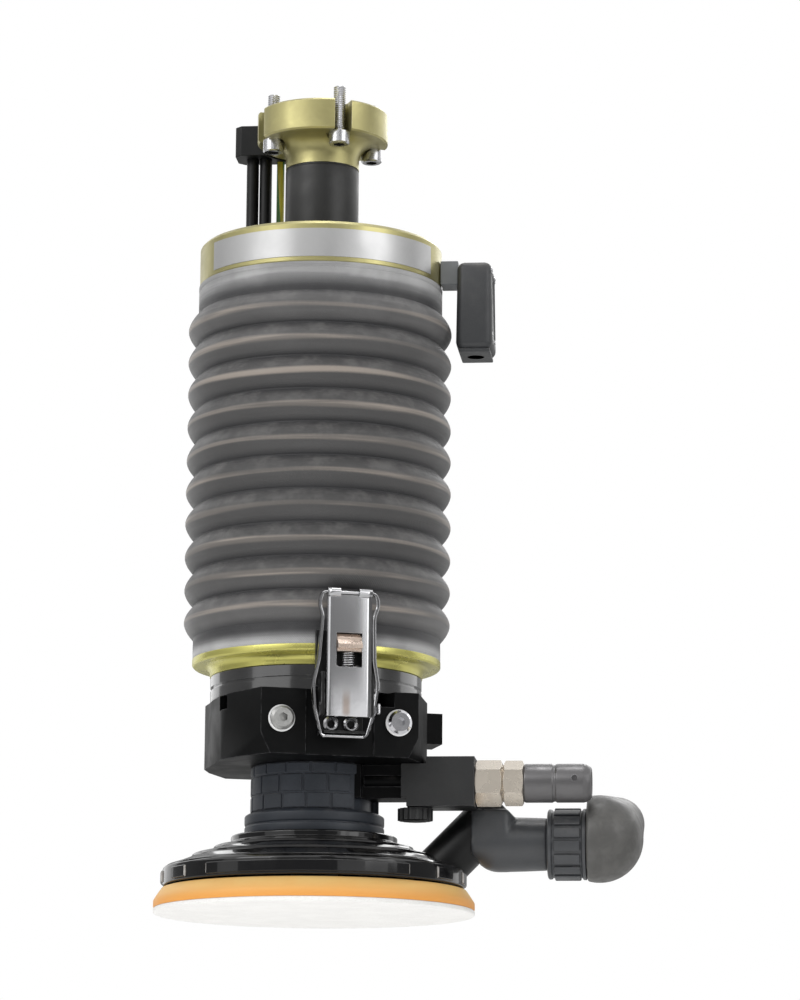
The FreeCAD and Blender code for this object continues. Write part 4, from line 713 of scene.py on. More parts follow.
def block(name, low, high, edge=0.5, segments=3):
    """A rounded block between two corners."""
    low, high = Vector(low), Vector(high)
    made = start_with(bpy.ops.mesh.primitive_cube_add, name, size=1.0, location=(low + high) / 2 * MM)
    made.scale = (high - low) * MM
    edit(bake_place(made))
    bpy.ops.mesh.bevel(offset=edge * MM, segments=segments, affect="EDGES")
    leave_edit()
    return smooth(made, 50)


def wire_ring(name, points, radius, bend=1.3):
    """Round wire bent to a closed ring through points, with rounded bends."""
    made = chain(name, points, closed=True)
    bpy.ops.mesh.bevel(offset=bend * MM, segments=6, affect="VERTICES")
    leave_edit()
    work_on(made)
    bpy.ops.object.convert(target="CURVE")
    curve = bpy.context.object.data
    curve.bevel_depth = radius * MM
    curve.bevel_resolution = 4
    bpy.ops.object.convert(target="MESH")
    return smooth(bpy.context.object, 50)


def cut(made, cutter, operation="DIFFERENCE"):
    """Takes a cutter out of a piece, or keeps only what both share, and takes the cutter away."""
    apply_modifier(made, "BOOLEAN", operation=operation, object=cutter, solver="EXACT")
    bpy.data.objects.remove(cutter)
    return made


def hull(made):
    """Draws a skin tight round all of a piece."""
    edit(made)
    bpy.ops.mesh.convex_hull()
    return leave_edit()


def melt(made, voxel, passes):
    """Runs what touches in a piece together and smooths it."""
    apply_modifier(made, "REMESH", mode="VOXEL", voxel_size=voxel * MM)
    return apply_modifier(made, "SMOOTH", factor=0.6, iterations=passes)


def prism(name, sides, radius, height, base=(0, 0, 0)):
    """A start with flat sides, standing on its base."""
    place = (Vector(base) + AXIS_Z * height / 2) * MM
    return bake_place(start_with(bpy.ops.mesh.primitive_cylinder_add, name, vertices=sides,
                                 radius=radius * MM, depth=height * MM, location=place))


def copies(made, moves):
    """Copies a piece by each move, each copy with its own mesh, and joins them into one piece."""
    others = []
    for move in moves:
        other = made.copy()
        other.data = made.data.copy()
        other.data.transform(move)
        bpy.context.scene.collection.objects.link(other)
        others.append(other)
    return join(made, *others)


def join(made, *others):
    work_on(made)
    for other in others:
        other.select_set(True)
    bpy.ops.object.join()
    return made


def round_z(degrees):
    return Matrix.Rotation(math.radians(degrees), 4, "Z")


def along(x, y, z):
    return Matrix.Translation(Vector((x, y, z)) * MM)


def on_circle(radius, degrees):
    """A point across and down from a centre, at an angle from straight up."""
    angle = math.radians(degrees)
    return radius * math.sin(angle), -radius * math.cos(angle)


def fit(made, finish, body, slot, *stands_for):
    """Gives a finished piece its material if it has none, and lets it ride on its body; its slot is not used.
    """
    if not made.data.materials:
        made.data.materials.append(bpy.data.materials[finish])
    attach(made, body)
    if stands_for:
        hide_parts(*stands_for)
    return made


def refine(node_name, name, width, finish, body, slot, segments=2):
    """Rounds the edges of a CAD node's copy, which then stands for the node."""
    return fit(eased_node(node_name, name, width, segments), finish, body, slot, node_name)


def second_finish(made, first, second, test):
    """Two finishes on one piece: the second on the faces whose centre (mm) and normal pass a test."""
    made.data.materials.append(bpy.data.materials[first])
    made.data.materials.append(bpy.data.materials[second])
    for face in made.data.polygons:
        face.material_index = int(test(face.center / MM, face.normal))
    return made


def dress(finish, *node_names):
    """Gives CAD nodes that keep their shape their material."""
    for name in node_names:
        mesh = NODES[name].data
        mesh.materials.clear()
        mesh.materials.append(bpy.data.materials[finish])


def socket_screw(name, finish, shank, shank_length, head, head_length, key, crown=0.6, pitch=1.0,
                 bore="bore_painted_shade"):
    """A screw with its seat at the origin: head up along Z, thread down, and a six-sided key hole."""
    outline = [(0, head_length), (head - crown, head_length), (head, head_length - crown), (head, 0),
               (shank, 0), (shank, -1.0)]
    depth = -1.0
    while depth - pitch > -shank_length:
        outline += [(shank - 0.32 * pitch, depth - pitch / 2), (shank, depth - pitch)]
        depth -= pitch
    outline += [(shank - 0.6, -shank_length), (0, -shank_length)]
    made = turned(name, outline, steps=36)
    floor, corner = head_length * 0.3, key / math.sqrt(3)
    cut(made, prism(name + "_key", 6, corner, head_length, (0, 0, floor)))
    # The key hole's walls and floor take the bore finish, by default near-black painted shade.
    second_finish(made, finish, bore, lambda centre, normal:
                  math.hypot(centre.x, centre.y) < corner and floor - 0.1 < centre.z < head_length - 0.1)
    return smooth(made)


# Pieces

class FLANGE_OT_finishes(Operator):
    """Make the shader groups and all the materials"""

    bl_idname = "flange.finishes"
    bl_label = "Finishes"

    def execute(self, context):
        for make in (make_grain_group, make_wear_group, make_dust_group, make_turning_group,
                     make_weave_group):
            make()
        make_finishes(context.scene.flange_colours, context.scene.flange_bellows)
        return {"FINISHED"}


class FLANGE_OT_adapter(Operator):
    """Make the robot adapter, its screws and the spacer column"""

    bl_idname = "flange.adapter"
    bl_label = "Adapter and column"

    def execute(self, context):
        refine("robot_adapter", "adapter_body", 0.35, "anodised_olive_aluminium", "upper", "anodised_olive")
        screws = socket_screw("adapter_screw_set", "plated_screw_steel", shank=2.95, shank_length=22.6,
                              head=5.0, head_length=6.0, key=5.0)
        settle(screws, (0, 0, -15), (180, 0, 0))
        circle, first = 25, 25
        places = [Vector((*on_circle(circle, first + 90 * quarter), 0)) for quarter in range(4)]
        screws.data.transform(along(*places[0]))
        copies(screws, [along(*(place - places[0])) for place in places[1:]])
        fit(screws, "plated_screw_steel", "upper", "steel", "adapter_screws")
        column = turned("column_tube", [
            (13.7, -27.6), (17.3, -27.6), (17.3, -28.4), (17.7, -28.8), (17.7, -66.2), (17.2, -66.8),
            (17.2, -67.6), (13.7, -67.6)], ease=0.15)
        fit(column, "satin_black_column", "upper", "column_black", "spacer_column")
        return {"FINISHED"}


class FLANGE_OT_top_cover(Operator):
    """Make the top cover and the bare band round it"""

    bl_idname = "flange.top_cover"
    bl_label = "Top cover"

    def execute(self, context):
        refine("top_cover", "top_cover_shell", 0.4, "anodised_olive_aluminium", "upper", "anodised_olive")
        inner, outer, low, high = 57.95, 58.3, -85.1, -71.6
        band = arc_block("bare_band", [(inner, low), (outer, low), (outer, high), (inner, high)],
                         start=-144, sweep=124, steps=62, edge=0.12)
        fit(band, "bare_silver_band", "upper", "label_silver", "label_band")
        dress("turned_aluminium", "upper_bellows_clamp")
        return {"FINISHED"}


class FLANGE_OT_bellows(Operator):
    """Make the folded bellows"""

    bl_idname = "flange.bellows"
    bl_label = "Bellows"

    def execute(self, context):
        sizes = context.scene.flange_bellows
        cloth = turned("folded_cloth", self.folds(sizes), steps=144, open_ended=True)
        self.crumple(cloth, sizes)
        apply_modifier(cloth, "SOLIDIFY", thickness=sizes.wall, offset=-1.0)
        smooth(cloth, 60)
        fit(cloth, "coated_bellows_cloth", "upper", "bellows_grey", "bellows")
        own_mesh(cloth)
        return {"FINISHED"}

    def folds(self, sizes):
        """Outline of the cloth: a cuff with a tied groove, the folds, and a cuff at the foot."""
        crest, valley, pitch = sizes.crest / MM, sizes.valley / MM, sizes.pitch / MM
        top, sunk = BELLOWS_TOP, 0.2
        first_valley = top - sizes.cuff / MM
        foot = first_valley - sizes.count * pitch
        outline = [(valley + 0.1, top), (valley + 0.1, top - 1.6), (valley - 0.25, top - 2.2),
                   (valley + 0.05, top - 2.8), (valley + 0.05, first_valley + 2.0)]
        for fold in range(sizes.count):
            for share in (0.02, 0.07, 0.14, 0.22, 0.3, 0.38, 0.46, 0.54, 0.62, 0.7, 0.78, 0.86, 0.93, 0.98):
                bulge = (crest - valley + sunk) * (1 - abs(2 * share - 1) ** sizes.fullness)
                outline.append((valley - sunk + bulge, first_valley - (fold + share) * pitch))
        return outline + [(valley, foot - 1.4), (valley + 0.1, foot - 4.0), (valley + 0.1, BELLOWS_LOW)]

    def crumple(self, cloth, sizes):
        """Lets the loose cloth of the folds wander from true circles."""
        for vertex in cloth.data.vertices:
            angle = math.atan2(vertex.co.y, vertex.co.x)
            fold = (vertex.co.z - BELLOWS_LOW * MM) / sizes.pitch
            across = math.hypot(vertex.co.x, vertex.co.y)
            loose = max(0.0, min(1.0, (across - sizes.valley) / (sizes.crest - sizes.valley)))
            sway = math.sin(3 * angle + 1.3 * fold) + math.sin(5 * angle - 2.1 * fold) + math.sin(fold * 1.7)
            vertex.co.z += sizes.wobble * sway * loose
            swell = 1 - sizes.wobble * loose * (1 + math.sin(2 * angle + fold)) / across / 2
            vertex.co.x *= swell
            vertex.co.y *= swell


class FLANGE_OT_lower_flange(Operator):
    """Make the lower flange and the grooved tool ring"""

    bl_idname = "flange.lower_flange"
    bl_label = "Lower flange and ring"

    def execute(self, context):
        hollow, middle = 3.5, (53.5, -274.5)
        fillet = []
        for step in range(7):
            angle = math.radians(15 * step)
            fillet.append((middle[0] - hollow * math.cos(angle), middle[1] + hollow * math.sin(angle)))
        flange = turned("lime_flange", [(0, -275.8), (50.0, -275.8), *fillet, (57.7, -271.0), (58.5, -270.2),
                                        (58.5, -267.6), (57.35, -267.6), (57.35, -260.0), (52.35, -260.0),
                                        (52.35, -270.8), (0, -270.8)], ease=0.2, steps=144)
        fit(flange, "anodised_lime_aluminium", "carriage", "anodised_lime", "lower_flange")
        refine("tool_ring", "grooved_ring", 0.35, "gloss_black_ring", "carriage", "black_metal")
        refine("carriage_screws", "ring_posts", 0.2, "plated_screw_steel", "carriage", "steel")
        return {"FINISHED"}


class FLANGE_OT_clamp_block(Operator):
    """Make the clamp block and its four pan-head screws with washers"""

    bl_idname = "flange.clamp_block"
    bl_label = "Clamp block"

    def execute(self, context):
        refine("clamp_block", "clamp_body", 0.7, "satin_black_block", "carriage", "black_metal", segments=3)
        for corner, (side, face) in enumerate(((-1, -1), (1, -1), (-1, 1), (1, 1))):
            finish = "dull_zinc_screw" if side * face > 0 else "bright_chrome"
            screw = socket_screw(f"block_screw_{corner + 1}", finish, shank=2.95, shank_length=13.0, head=5.5,
                                 head_length=3.2, key=3.8, crown=1.2, bore=finish)
            join(screw, turned("washer", [(3.1, -1.2), (6.2, -1.2), (6.2, 0), (3.1, 0)], ease=0.3, steps=48))
            settle(screw, (27.5 * side, 52.2 * face, -302.0), (-90 * face, 0, 0))
            settle(screw, turn=(0, 0, LATCH_ANGLE))
            stands_for = ["clamp_screws"] if corner == 0 else []
            fit(screw, finish, "carriage", "steel", *stands_for)
        return {"FINISHED"}


class FLANGE_OT_latches(Operator):
    """Make the two toggle latches: levers, wire bails, catches, springs, brackets and keepers"""

    bl_idname = "flange.latches"
    bl_label = "Latches"

    def execute(self, context):
        refine("latch_brackets", "latch_channels", 0.3, "black_pressed_steel", "carriage", "black_metal")
        refine("latch_keepers", "keeper_plates", 0.3, "black_pressed_steel", "carriage", "black_metal")
        refine("latch_pins", "pivot_pins", 0.25, "plated_screw_steel", "carriage", "steel")
        self.make_eyelets()
        self.make_studs()
        for side, angle in LATCH_SIDES:
            lever, catch, bail = (kind + side for kind in ("lever_", "catch_", "bail_"))
            refine(lever, "lever_plate_" + side, 0.65, "polished_stainless", lever, "stainless", segments=3)
            fit(self.make_catch(side, angle), "brown_tinted_catch", catch, "stainless", catch)
            fit(self.make_bail(side, angle), "polished_stainless", bail, "stainless", bail)
            self.make_spring(side, angle)
        return {"FINISHED"}

    def make_catch(self, side, angle):
        """The sliding catch: its two front edges fall away, so that they catch the light from above."""
        turn_back = round_z(-angle)
        made = merged_node("catch_" + side, "catch_tab_" + side)
        for depth, height, width in ((-70.8, -267.3, 2.1), (-68.4, -264.3, 1.9)):

            def on_front_edge(middle):
                own = turn_back @ middle
                return abs(own.x) < 1 and math.hypot(own.y - depth, own.z - height) < 0.1

            slant(made, width, on_front_edge)
        return soften(made, 0.25)

    def make_eyelets(self):
        """Four rolled eyelets that hold the keeper plates."""
        aside, height = 4.65, -303.9
        eyelet = turned("keeper_eyelets", [(0, 52.2), (1.65, 52.2), (1.65, 53.3), (2.3, 54), (2.9, 54),
                                           (3.65, 53.1), (3.65, 52), (0, 52)], steps=36, turn=(90, 0, 0))
        eyelet.data.transform(along(aside, 0, height))
        copies(eyelet, [along(-2 * aside, 0, 0)])
        copies(eyelet, [round_z(180)])
        settle(eyelet, turn=(0, 0, LATCH_ANGLE))
        turn_back = round_z(-LATCH_ANGLE)

        # Painted shade: the shallow hollow in each eyelet is painted near-black, as if it were a deep hole.
        def in_hole(centre, normal):
            own = turn_back @ centre
            return math.hypot(abs(own.x) - aside, own.z - height) < 1.5

        second_finish(eyelet, "plated_screw_steel", "bore_painted_shade", in_hole)
        fit(eyelet, "plated_screw_steel", "carriage", "steel", "keeper_rivets")

    def make_studs(self):
        """A small stud beside each latch, which shows how the ring sits on the block."""
        stud = turned("locating_studs", [(0, -298.6), (1.0, -298.6), (1.3, -298.2), (1.3, -294.4),
                                         (1.0, -293.8), (0, -293.5)], steps=24, base=(17.6, -52.0, 0))
        copies(stud, [round_z(180)])
        fit(settle(stud, turn=(0, 0, LATCH_ANGLE)), "plated_screw_steel", "carriage", "steel")

    def make_bail(self, side, angle):
        """The sprung wire: through the lever's knuckles, a small loop, and down under the keeper."""
        half = [(12.0, -245.4), (13.6, -248.0), (13.7, -251.6), (12.2, -255.8), (12.3, -260.0),
                (13.1, -276.0), (15.1, -285.8), (15.1, -288.6), (14.0, -298.5), (10.7, -310.2)]
        top, low = half[0][1], half[-1][1]
        top_reach, low_reach = 67.25, 58.0
        points = []
        for across, height in half:
            share = (top - height) / (top - low)
            points.append((across, -(top_reach + (low_reach - top_reach) * share), height))
        ring = points + [(-x, y, z) for x, y, z in reversed(points)]
        return settle(wire_ring(f"bail_wire_{side}", ring, radius=0.9), turn=(0, 0, angle))

    def make_spring(self, side, angle):
        """A coil spring between the catch and its seat, of one wire circle screwed up."""
        turns, rise, steps = 6, 6.4, 20
        coil = start_with(bpy.ops.mesh.primitive_circle_add, f"catch_coil_{side}", vertices=10,
                          radius=0.34 * MM, location=(1.8 * MM, 0, 0), rotation=(math.pi / 2, 0, 0))
        bake_place(coil)
        apply_modifier(coil, "SCREW", axis="Z", screw_offset=rise / turns * MM, iterations=turns, steps=steps,
                       render_steps=steps, use_merge_vertices=False)
        edit(coil)
        bpy.ops.mesh.select_all(action="DESELECT")
        bpy.ops.mesh.select_non_manifold()
        bpy.ops.mesh.fill()
        close_up()
        leave_edit()
        coil.scale.x = 1.4
        settle(coil, (0, -65.8, -279.3))
        smooth(settle(coil, turn=(0, 0, angle)), 60)
        fit(coil, "plated_screw_steel", "lever_" + side, "steel", "catch_spring_" + side)
        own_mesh(coil)


class FLANGE_OT_side_box(Operator):
    """Make the side box with its lid, gland and arm"""

    bl_idname = "flange.side_box"
    bl_label = "Side box"

    def execute(self, context):
        body = block("side_box_body", (66.6, -13, -119.6), (83, 13, -77), edge=3.4, segments=4)
        edit(body)
        select_faces(body, lambda centre, normal: centre.z < -114)
        bpy.ops.transform.resize(value=(1.06, 1.08, 1.0), center_override=Vector((74.4, 0, -119)) * MM)
        select_faces(body, lambda centre, normal: normal.x > 0.99)
        bpy.ops.mesh.inset(thickness=1.6 * MM)
        bpy.ops.mesh.inset(thickness=0.5 * MM, depth=-0.5 * MM)
        leave_edit()
        lip = block("side_box_lip", (67.4, -12.2, -121), (82.2, 12.2, -119.2))
        gland = turned("side_box_gland", [(0, -119), (5.4, -119), (5.4, -120.2), (4.2, -120.6), (4.2, -121),
                                          (0, -121)], ease=0.2, steps=40, base=(74.8, 0, 0))
        join(body, lip, gland)
        fit(smooth(body, 50), "side_box_plastic", "upper", "black_plastic", "junction_box")
        refine("junction_bracket", "side_box_arm", 0.6, "grey_valve_plastic", "upper", "grey_plastic")
        screws = socket_screw("side_box_screws", "plated_screw_steel", shank=1.2, shank_length=3, head=1.9,
                              head_length=0.9, key=1.8, crown=0.3)
        settle(screws, (82.55, -9.2, -81), ALONG_X)
        copies(screws, [along(0, 18.4, 0), along(0, 0, -31.5), along(0, 18.4, -31.5)])
        fit(screws, "plated_screw_steel", "upper", "steel")
        return {"FINISHED"}


class FLANGE_OT_lines(Operator):
    """Make the line clamp, the air lines with their fittings, and the earth lead"""

    bl_idname = "flange.lines"
    bl_label = "Lines"

    def execute(self, context):
        refine("line_clamp", "line_holder", 2.6, "black_line", "upper", "black_plastic", segments=5)
        refine("air_lines", "air_line_pair", 0.1, "black_line", "upper", "line_black")
        refine("earth_lead", "earth_line", 0.15, "striped_lead", "upper", "earth_green")
        fitting = turned("line_fittings", [
            (3.05, -67.6), (3.15, -67.6), (3.15, -62.0), (2.95, -61.2), (3.15, -60.6), (3.15, -57.6),
            (2.9, -56.6), (3.0, -56.6)], ease=0.1, steps=40, base=(-36.6, 20, 0))
        copies(fitting, [along(6.4, 0, 0)])
        fit(fitting, "plated_screw_steel", "upper", "black_plastic", "push_in_fittings")
        return {"FINISHED"}


class FLANGE_OT_grip(Operator):
    """Make the rubber grip with its raised tiles, and the collar below it"""

    bl_idname = "flange.grip"
    bl_label = "Grip and collar"

    def execute(self, context):
        sizes = context.scene.flange_grip
        refine("grip_cover", "grip_sleeve", 0.4, "blue_black_grip_rubber", "carriage", "grip_rubber")
        pitch = 360 / sizes.columns
        inner, outer = 28.9, 29.35 + sizes.proud / MM
        sweep = pitch - math.degrees(sizes.gap / MM / outer)
        rows = ((-318.5, -323.1, 4.0), (-323.8, -331.8, -3.0), (-332.5, -339.4, 0.0))
        valve_start, valve_end = -50, 8
        tiles = []
        for high, low, shift in rows:
            start = shift - 90
            tile = arc_block("grip_tiles", [(inner, low), (outer, low), (outer, high), (inner, high)], start,
                             sweep, edge=sizes.edge / MM)
            turns = []
            for column in range(1, sizes.columns):
                middle = (start + column * pitch + sweep / 2 + 180) % 360 - 180
                if not valve_start < middle < valve_end:
                    turns.append(round_z(column * pitch))
            tiles.append(copies(tile, turns))
        fit(join(*tiles), "blue_black_grip_rubber", "carriage", "grip_rubber")
        collar = turned("rounded_collar", [(27.2, -339.8), (30.2, -339.8), (32.7, -341.2), (32.7, -345.4),
                                           (31.9, -345.9), (32.7, -346.4), (32.7, -350.4), (27.2, -350.4)],
                        ease=0.6)
        fit(collar, "blue_black_collar", "carriage", "grip_rubber", "sander_collar")
        dress("blue_black_collar", "sander_housing")
        return {"FINISHED"}


class FLANGE_OT_skirt(Operator):
    """Make the stepped gloss skirt, the orange pad and the abrasive disc"""

    bl_idname = "flange.skirt"
    bl_label = "Skirt and pad"

    def execute(self, context):
        skirt = turned("stepped_skirt", [
            (34.5, -350.4), (38.2, -350.4), (38.9, -351.0), (38.9, -353.4), (41.6, -354.4), (44.6, -355.6),
            (45.2, -355.2), (46.6, -355.4), (47.2, -356.6), (54.4, -359.5), (55.2, -359.0), (56.8, -359.4),
            (57.4, -360.7), (64.2, -363.4), (66.0, -363.9), (66.4, -364.6), (68.4, -364.6), (70.3, -366.0),
            (70.5, -367.0), (70.5, -373.4), (69.9, -374.0), (67.9, -374.0), (67.9, -367.2), (64.7, -366.6),
            (38.9, -356.3), (34.5, -356.3)], ease=0.34, steps=144)
        room = prism("port_room", 48, radius=13, height=60, base=(0, 0, -30))
        lean = math.degrees(math.atan2(29, 11))
        cut(skirt, settle(room, (55, 8, -359.8), (0, lean, 0)))
        outline = [(70.1, -372.9), (71.4, -372.9), (71.4, -367.4), (70.1, -367.4)]
        rib = arc_block("rim_pads", outline, start=-126.8, sweep=81.4, steps=30, edge=0.6)
        join(rib, arc_block("short_pads", outline, start=-30.5, sweep=11.5, edge=0.6))
        copies(rib, [round_z(120), round_z(240)])
        fit(smooth(skirt), "gloss_black_skirt", "carriage", "black_plastic", "skirt")

        # The ends of the rim pads take the pale painted highlight.
        def on_end(centre, normal):
            return abs(normal.y * centre.x - normal.x * centre.y) > 0.35 * math.hypot(centre.x, centre.y)

        second_finish(rib, "gloss_black_skirt", "pad_end_painted_highlight", on_end)
        fit(rib, "gloss_black_skirt", "carriage", "black_plastic")
        pad = turned("backing_pad_foam", [
            (0, -354.5), (3.6, -354.5), (4.0, -354.9), (4.0, -366.7), (10.6, -366.7), (11.0, -367.1),
            (11.0, -374.7), (69.0, -374.7), (70.2, -374.7), (71.2, -375.0), (72.9, -377.4), (74.6, -380.0),
            (PAD_RADIUS, -380.9), (PAD_RADIUS, -383.3), (74.7, PAD_UNDERSIDE), (0, PAD_UNDERSIDE)],
            steps=144, base=PAD_CENTRE)
        second_finish(pad, "orange_pad_foam", "grey_valve_plastic",
                      lambda centre, normal: math.hypot(centre.x, centre.y - PAD_CENTRE[1]) < 69.2)
        fit(pad, "orange_pad_foam", "pad", "pad_orange", "backing_pad")
        disc = turned("abrasive_sheet", [(0, -384.15), (74.6, -384.15), (PAD_RADIUS, -384.5),
                                         (PAD_RADIUS, -385.9), (74.6, -386.3), (0, -386.3)],
                      steps=144, base=PAD_CENTRE)
        fit(disc, "pale_abrasive", "pad", "abrasive_white", "abrasive_disc")
        return {"FINISHED"}


class FLANGE_OT_air_inlet(Operator):
    """Make the valve body, its fluted knob, the nickel hexagons and the coupling"""

    bl_idname = "flange.air_inlet"
    bl_label = "Air inlet"

    def execute(self, context):
        body = cut(merged_node("valve_block", "valve_body"),
                   block("neck_room", (24, -26, -340), (42.5, -16.4, -314), 0.3))
        soften(body, 0.8, segments=3)
        join(body, turned("neck_pipe", [(0, 25), (2.7, 25), (2.7, 43.5), (0, 43.5)], steps=32,
                          base=(0, -15.6, -326.0), turn=ALONG_X))
        # Painted shade: the recessed neck, left of x 42.3 mm, takes the darker block finish where the block
        # shades it.
        second_finish(body, "matt_valve_body", "satin_black_block", lambda centre, normal: centre.x < 42.3)
        fit(body, "matt_valve_body", "carriage", "black_plastic", "valve_block")
        self.make_knob()
        front = self.make_hexagon("plated_hexagons", start=76.5, end=88.8, across=18.8)
        small = self.make_hexagon("small_hexagon", start=89.7, end=SLEEVE_START, across=18.4)
        neck = turned("hexagon_neck", [
            (5.5, 76.0), (9.0, 76.0), (9.0, 88.4), (8.1, 88.9), (8.7, 89.25), (8.1, 89.6), (9.0, 90.0),
            (9.0, SLEEVE_START), (5.5, SLEEVE_START)], ease=0.1, steps=60, **ON_INLET)
        join(front, small, neck)
        fit(front, "warm_nickel", "carriage", "nickel", "hex_adapter")
        sleeve = turned("coupling_sleeve", [
            (5.5, SLEEVE_START), (8.4, SLEEVE_START), (9.0, 99.6), (9.0, 112.2), (8.5, 112.7), (8.5, 113.6),
            (9.0, 114.1), (9.0, 126.6), (8.5, 128.4), (7.5, 129.8), (6.6, 130.3), (5.5, 130.3)],
            ease=0.3, **ON_INLET)
        cut(sleeve, turned("dimple_cutter", [(0, -1), (1.5, -1), (1.5, 1), (0, 1)], steps=24,
                           base=(122.6, -18.6, -325.0), turn=(90, 0, 0)))
        fit(smooth(sleeve), "grey_coupling_sleeve", "carriage", "stainless", "air_coupling")
        return {"FINISHED"}

    def make_hexagon(self, name, start, end, across):
        """A spanner hexagon along X, its corners turned off at both ends."""
        flat, corner = across / 2, across / math.sqrt(3)
        slope = (corner - flat) * 0.62
        hexagon = prism(name, 6, corner, end - start, (0, 0, start))
        chamfer = turned(name + "_chamfer", [
            (0, start - 1), (flat - 0.4, start - 1), (flat - 0.1, start), (corner + 0.4, start + slope),
            (corner + 0.4, end - slope), (flat - 0.1, end), (flat - 0.4, end + 1), (0, end + 1)])
        cut(hexagon, chamfer, "INTERSECT")
        settle(hexagon, turn=(0, 0, 30))
        return soften(settle(hexagon, INLET_AXIS, ALONG_X), 0.2)

    def make_knob(self):
        """Fluted throttle knob with a domed underside."""
        flutes, sides_each = 18, 3
        knob = prism("fluted_knob", flutes * sides_each, radius=8.3, height=5.4, base=(0, 0, -343.7))
        edit(knob)
        bpy.ops.mesh.select_all(action="DESELECT")
        bpy.ops.object.mode_set(mode="OBJECT")
        sides = [face for face in knob.data.polygons if abs(face.normal.z) < 0.5]
        sides.sort(key=lambda face: math.atan2(face.center.y, face.center.x))
        for index, face in enumerate(sides):
            face.select = index % sides_each == 0
        bpy.ops.object.mode_set(mode="EDIT")
        bpy.ops.mesh.select_mode(type="FACE")
        bpy.ops.transform.resize(value=(0.925, 0.925, 1.0), center_override=Vector((0, 0, -341)) * MM)
        select_faces(knob, lambda centre, normal: normal.z < -0.9)
        for inset, sink in ((0.5, 0.175), (1.6, 0.225), (2.2, 0.125)):
            bpy.ops.mesh.inset(thickness=inset * MM)
            bpy.ops.transform.translate(value=(0, 0, -sink * MM))
        leave_edit()
        join(knob, turned("knob_stem", [(0, -338.4), (3.0, -338.4), (3.0, -332.3), (0, -332.3)], steps=32))
        settle(knob, (48.3, -10, 0))
        fit(smooth(soften(knob, 0.2), 30), "matt_valve_body", "knob", "black_plastic", "speed_knob")


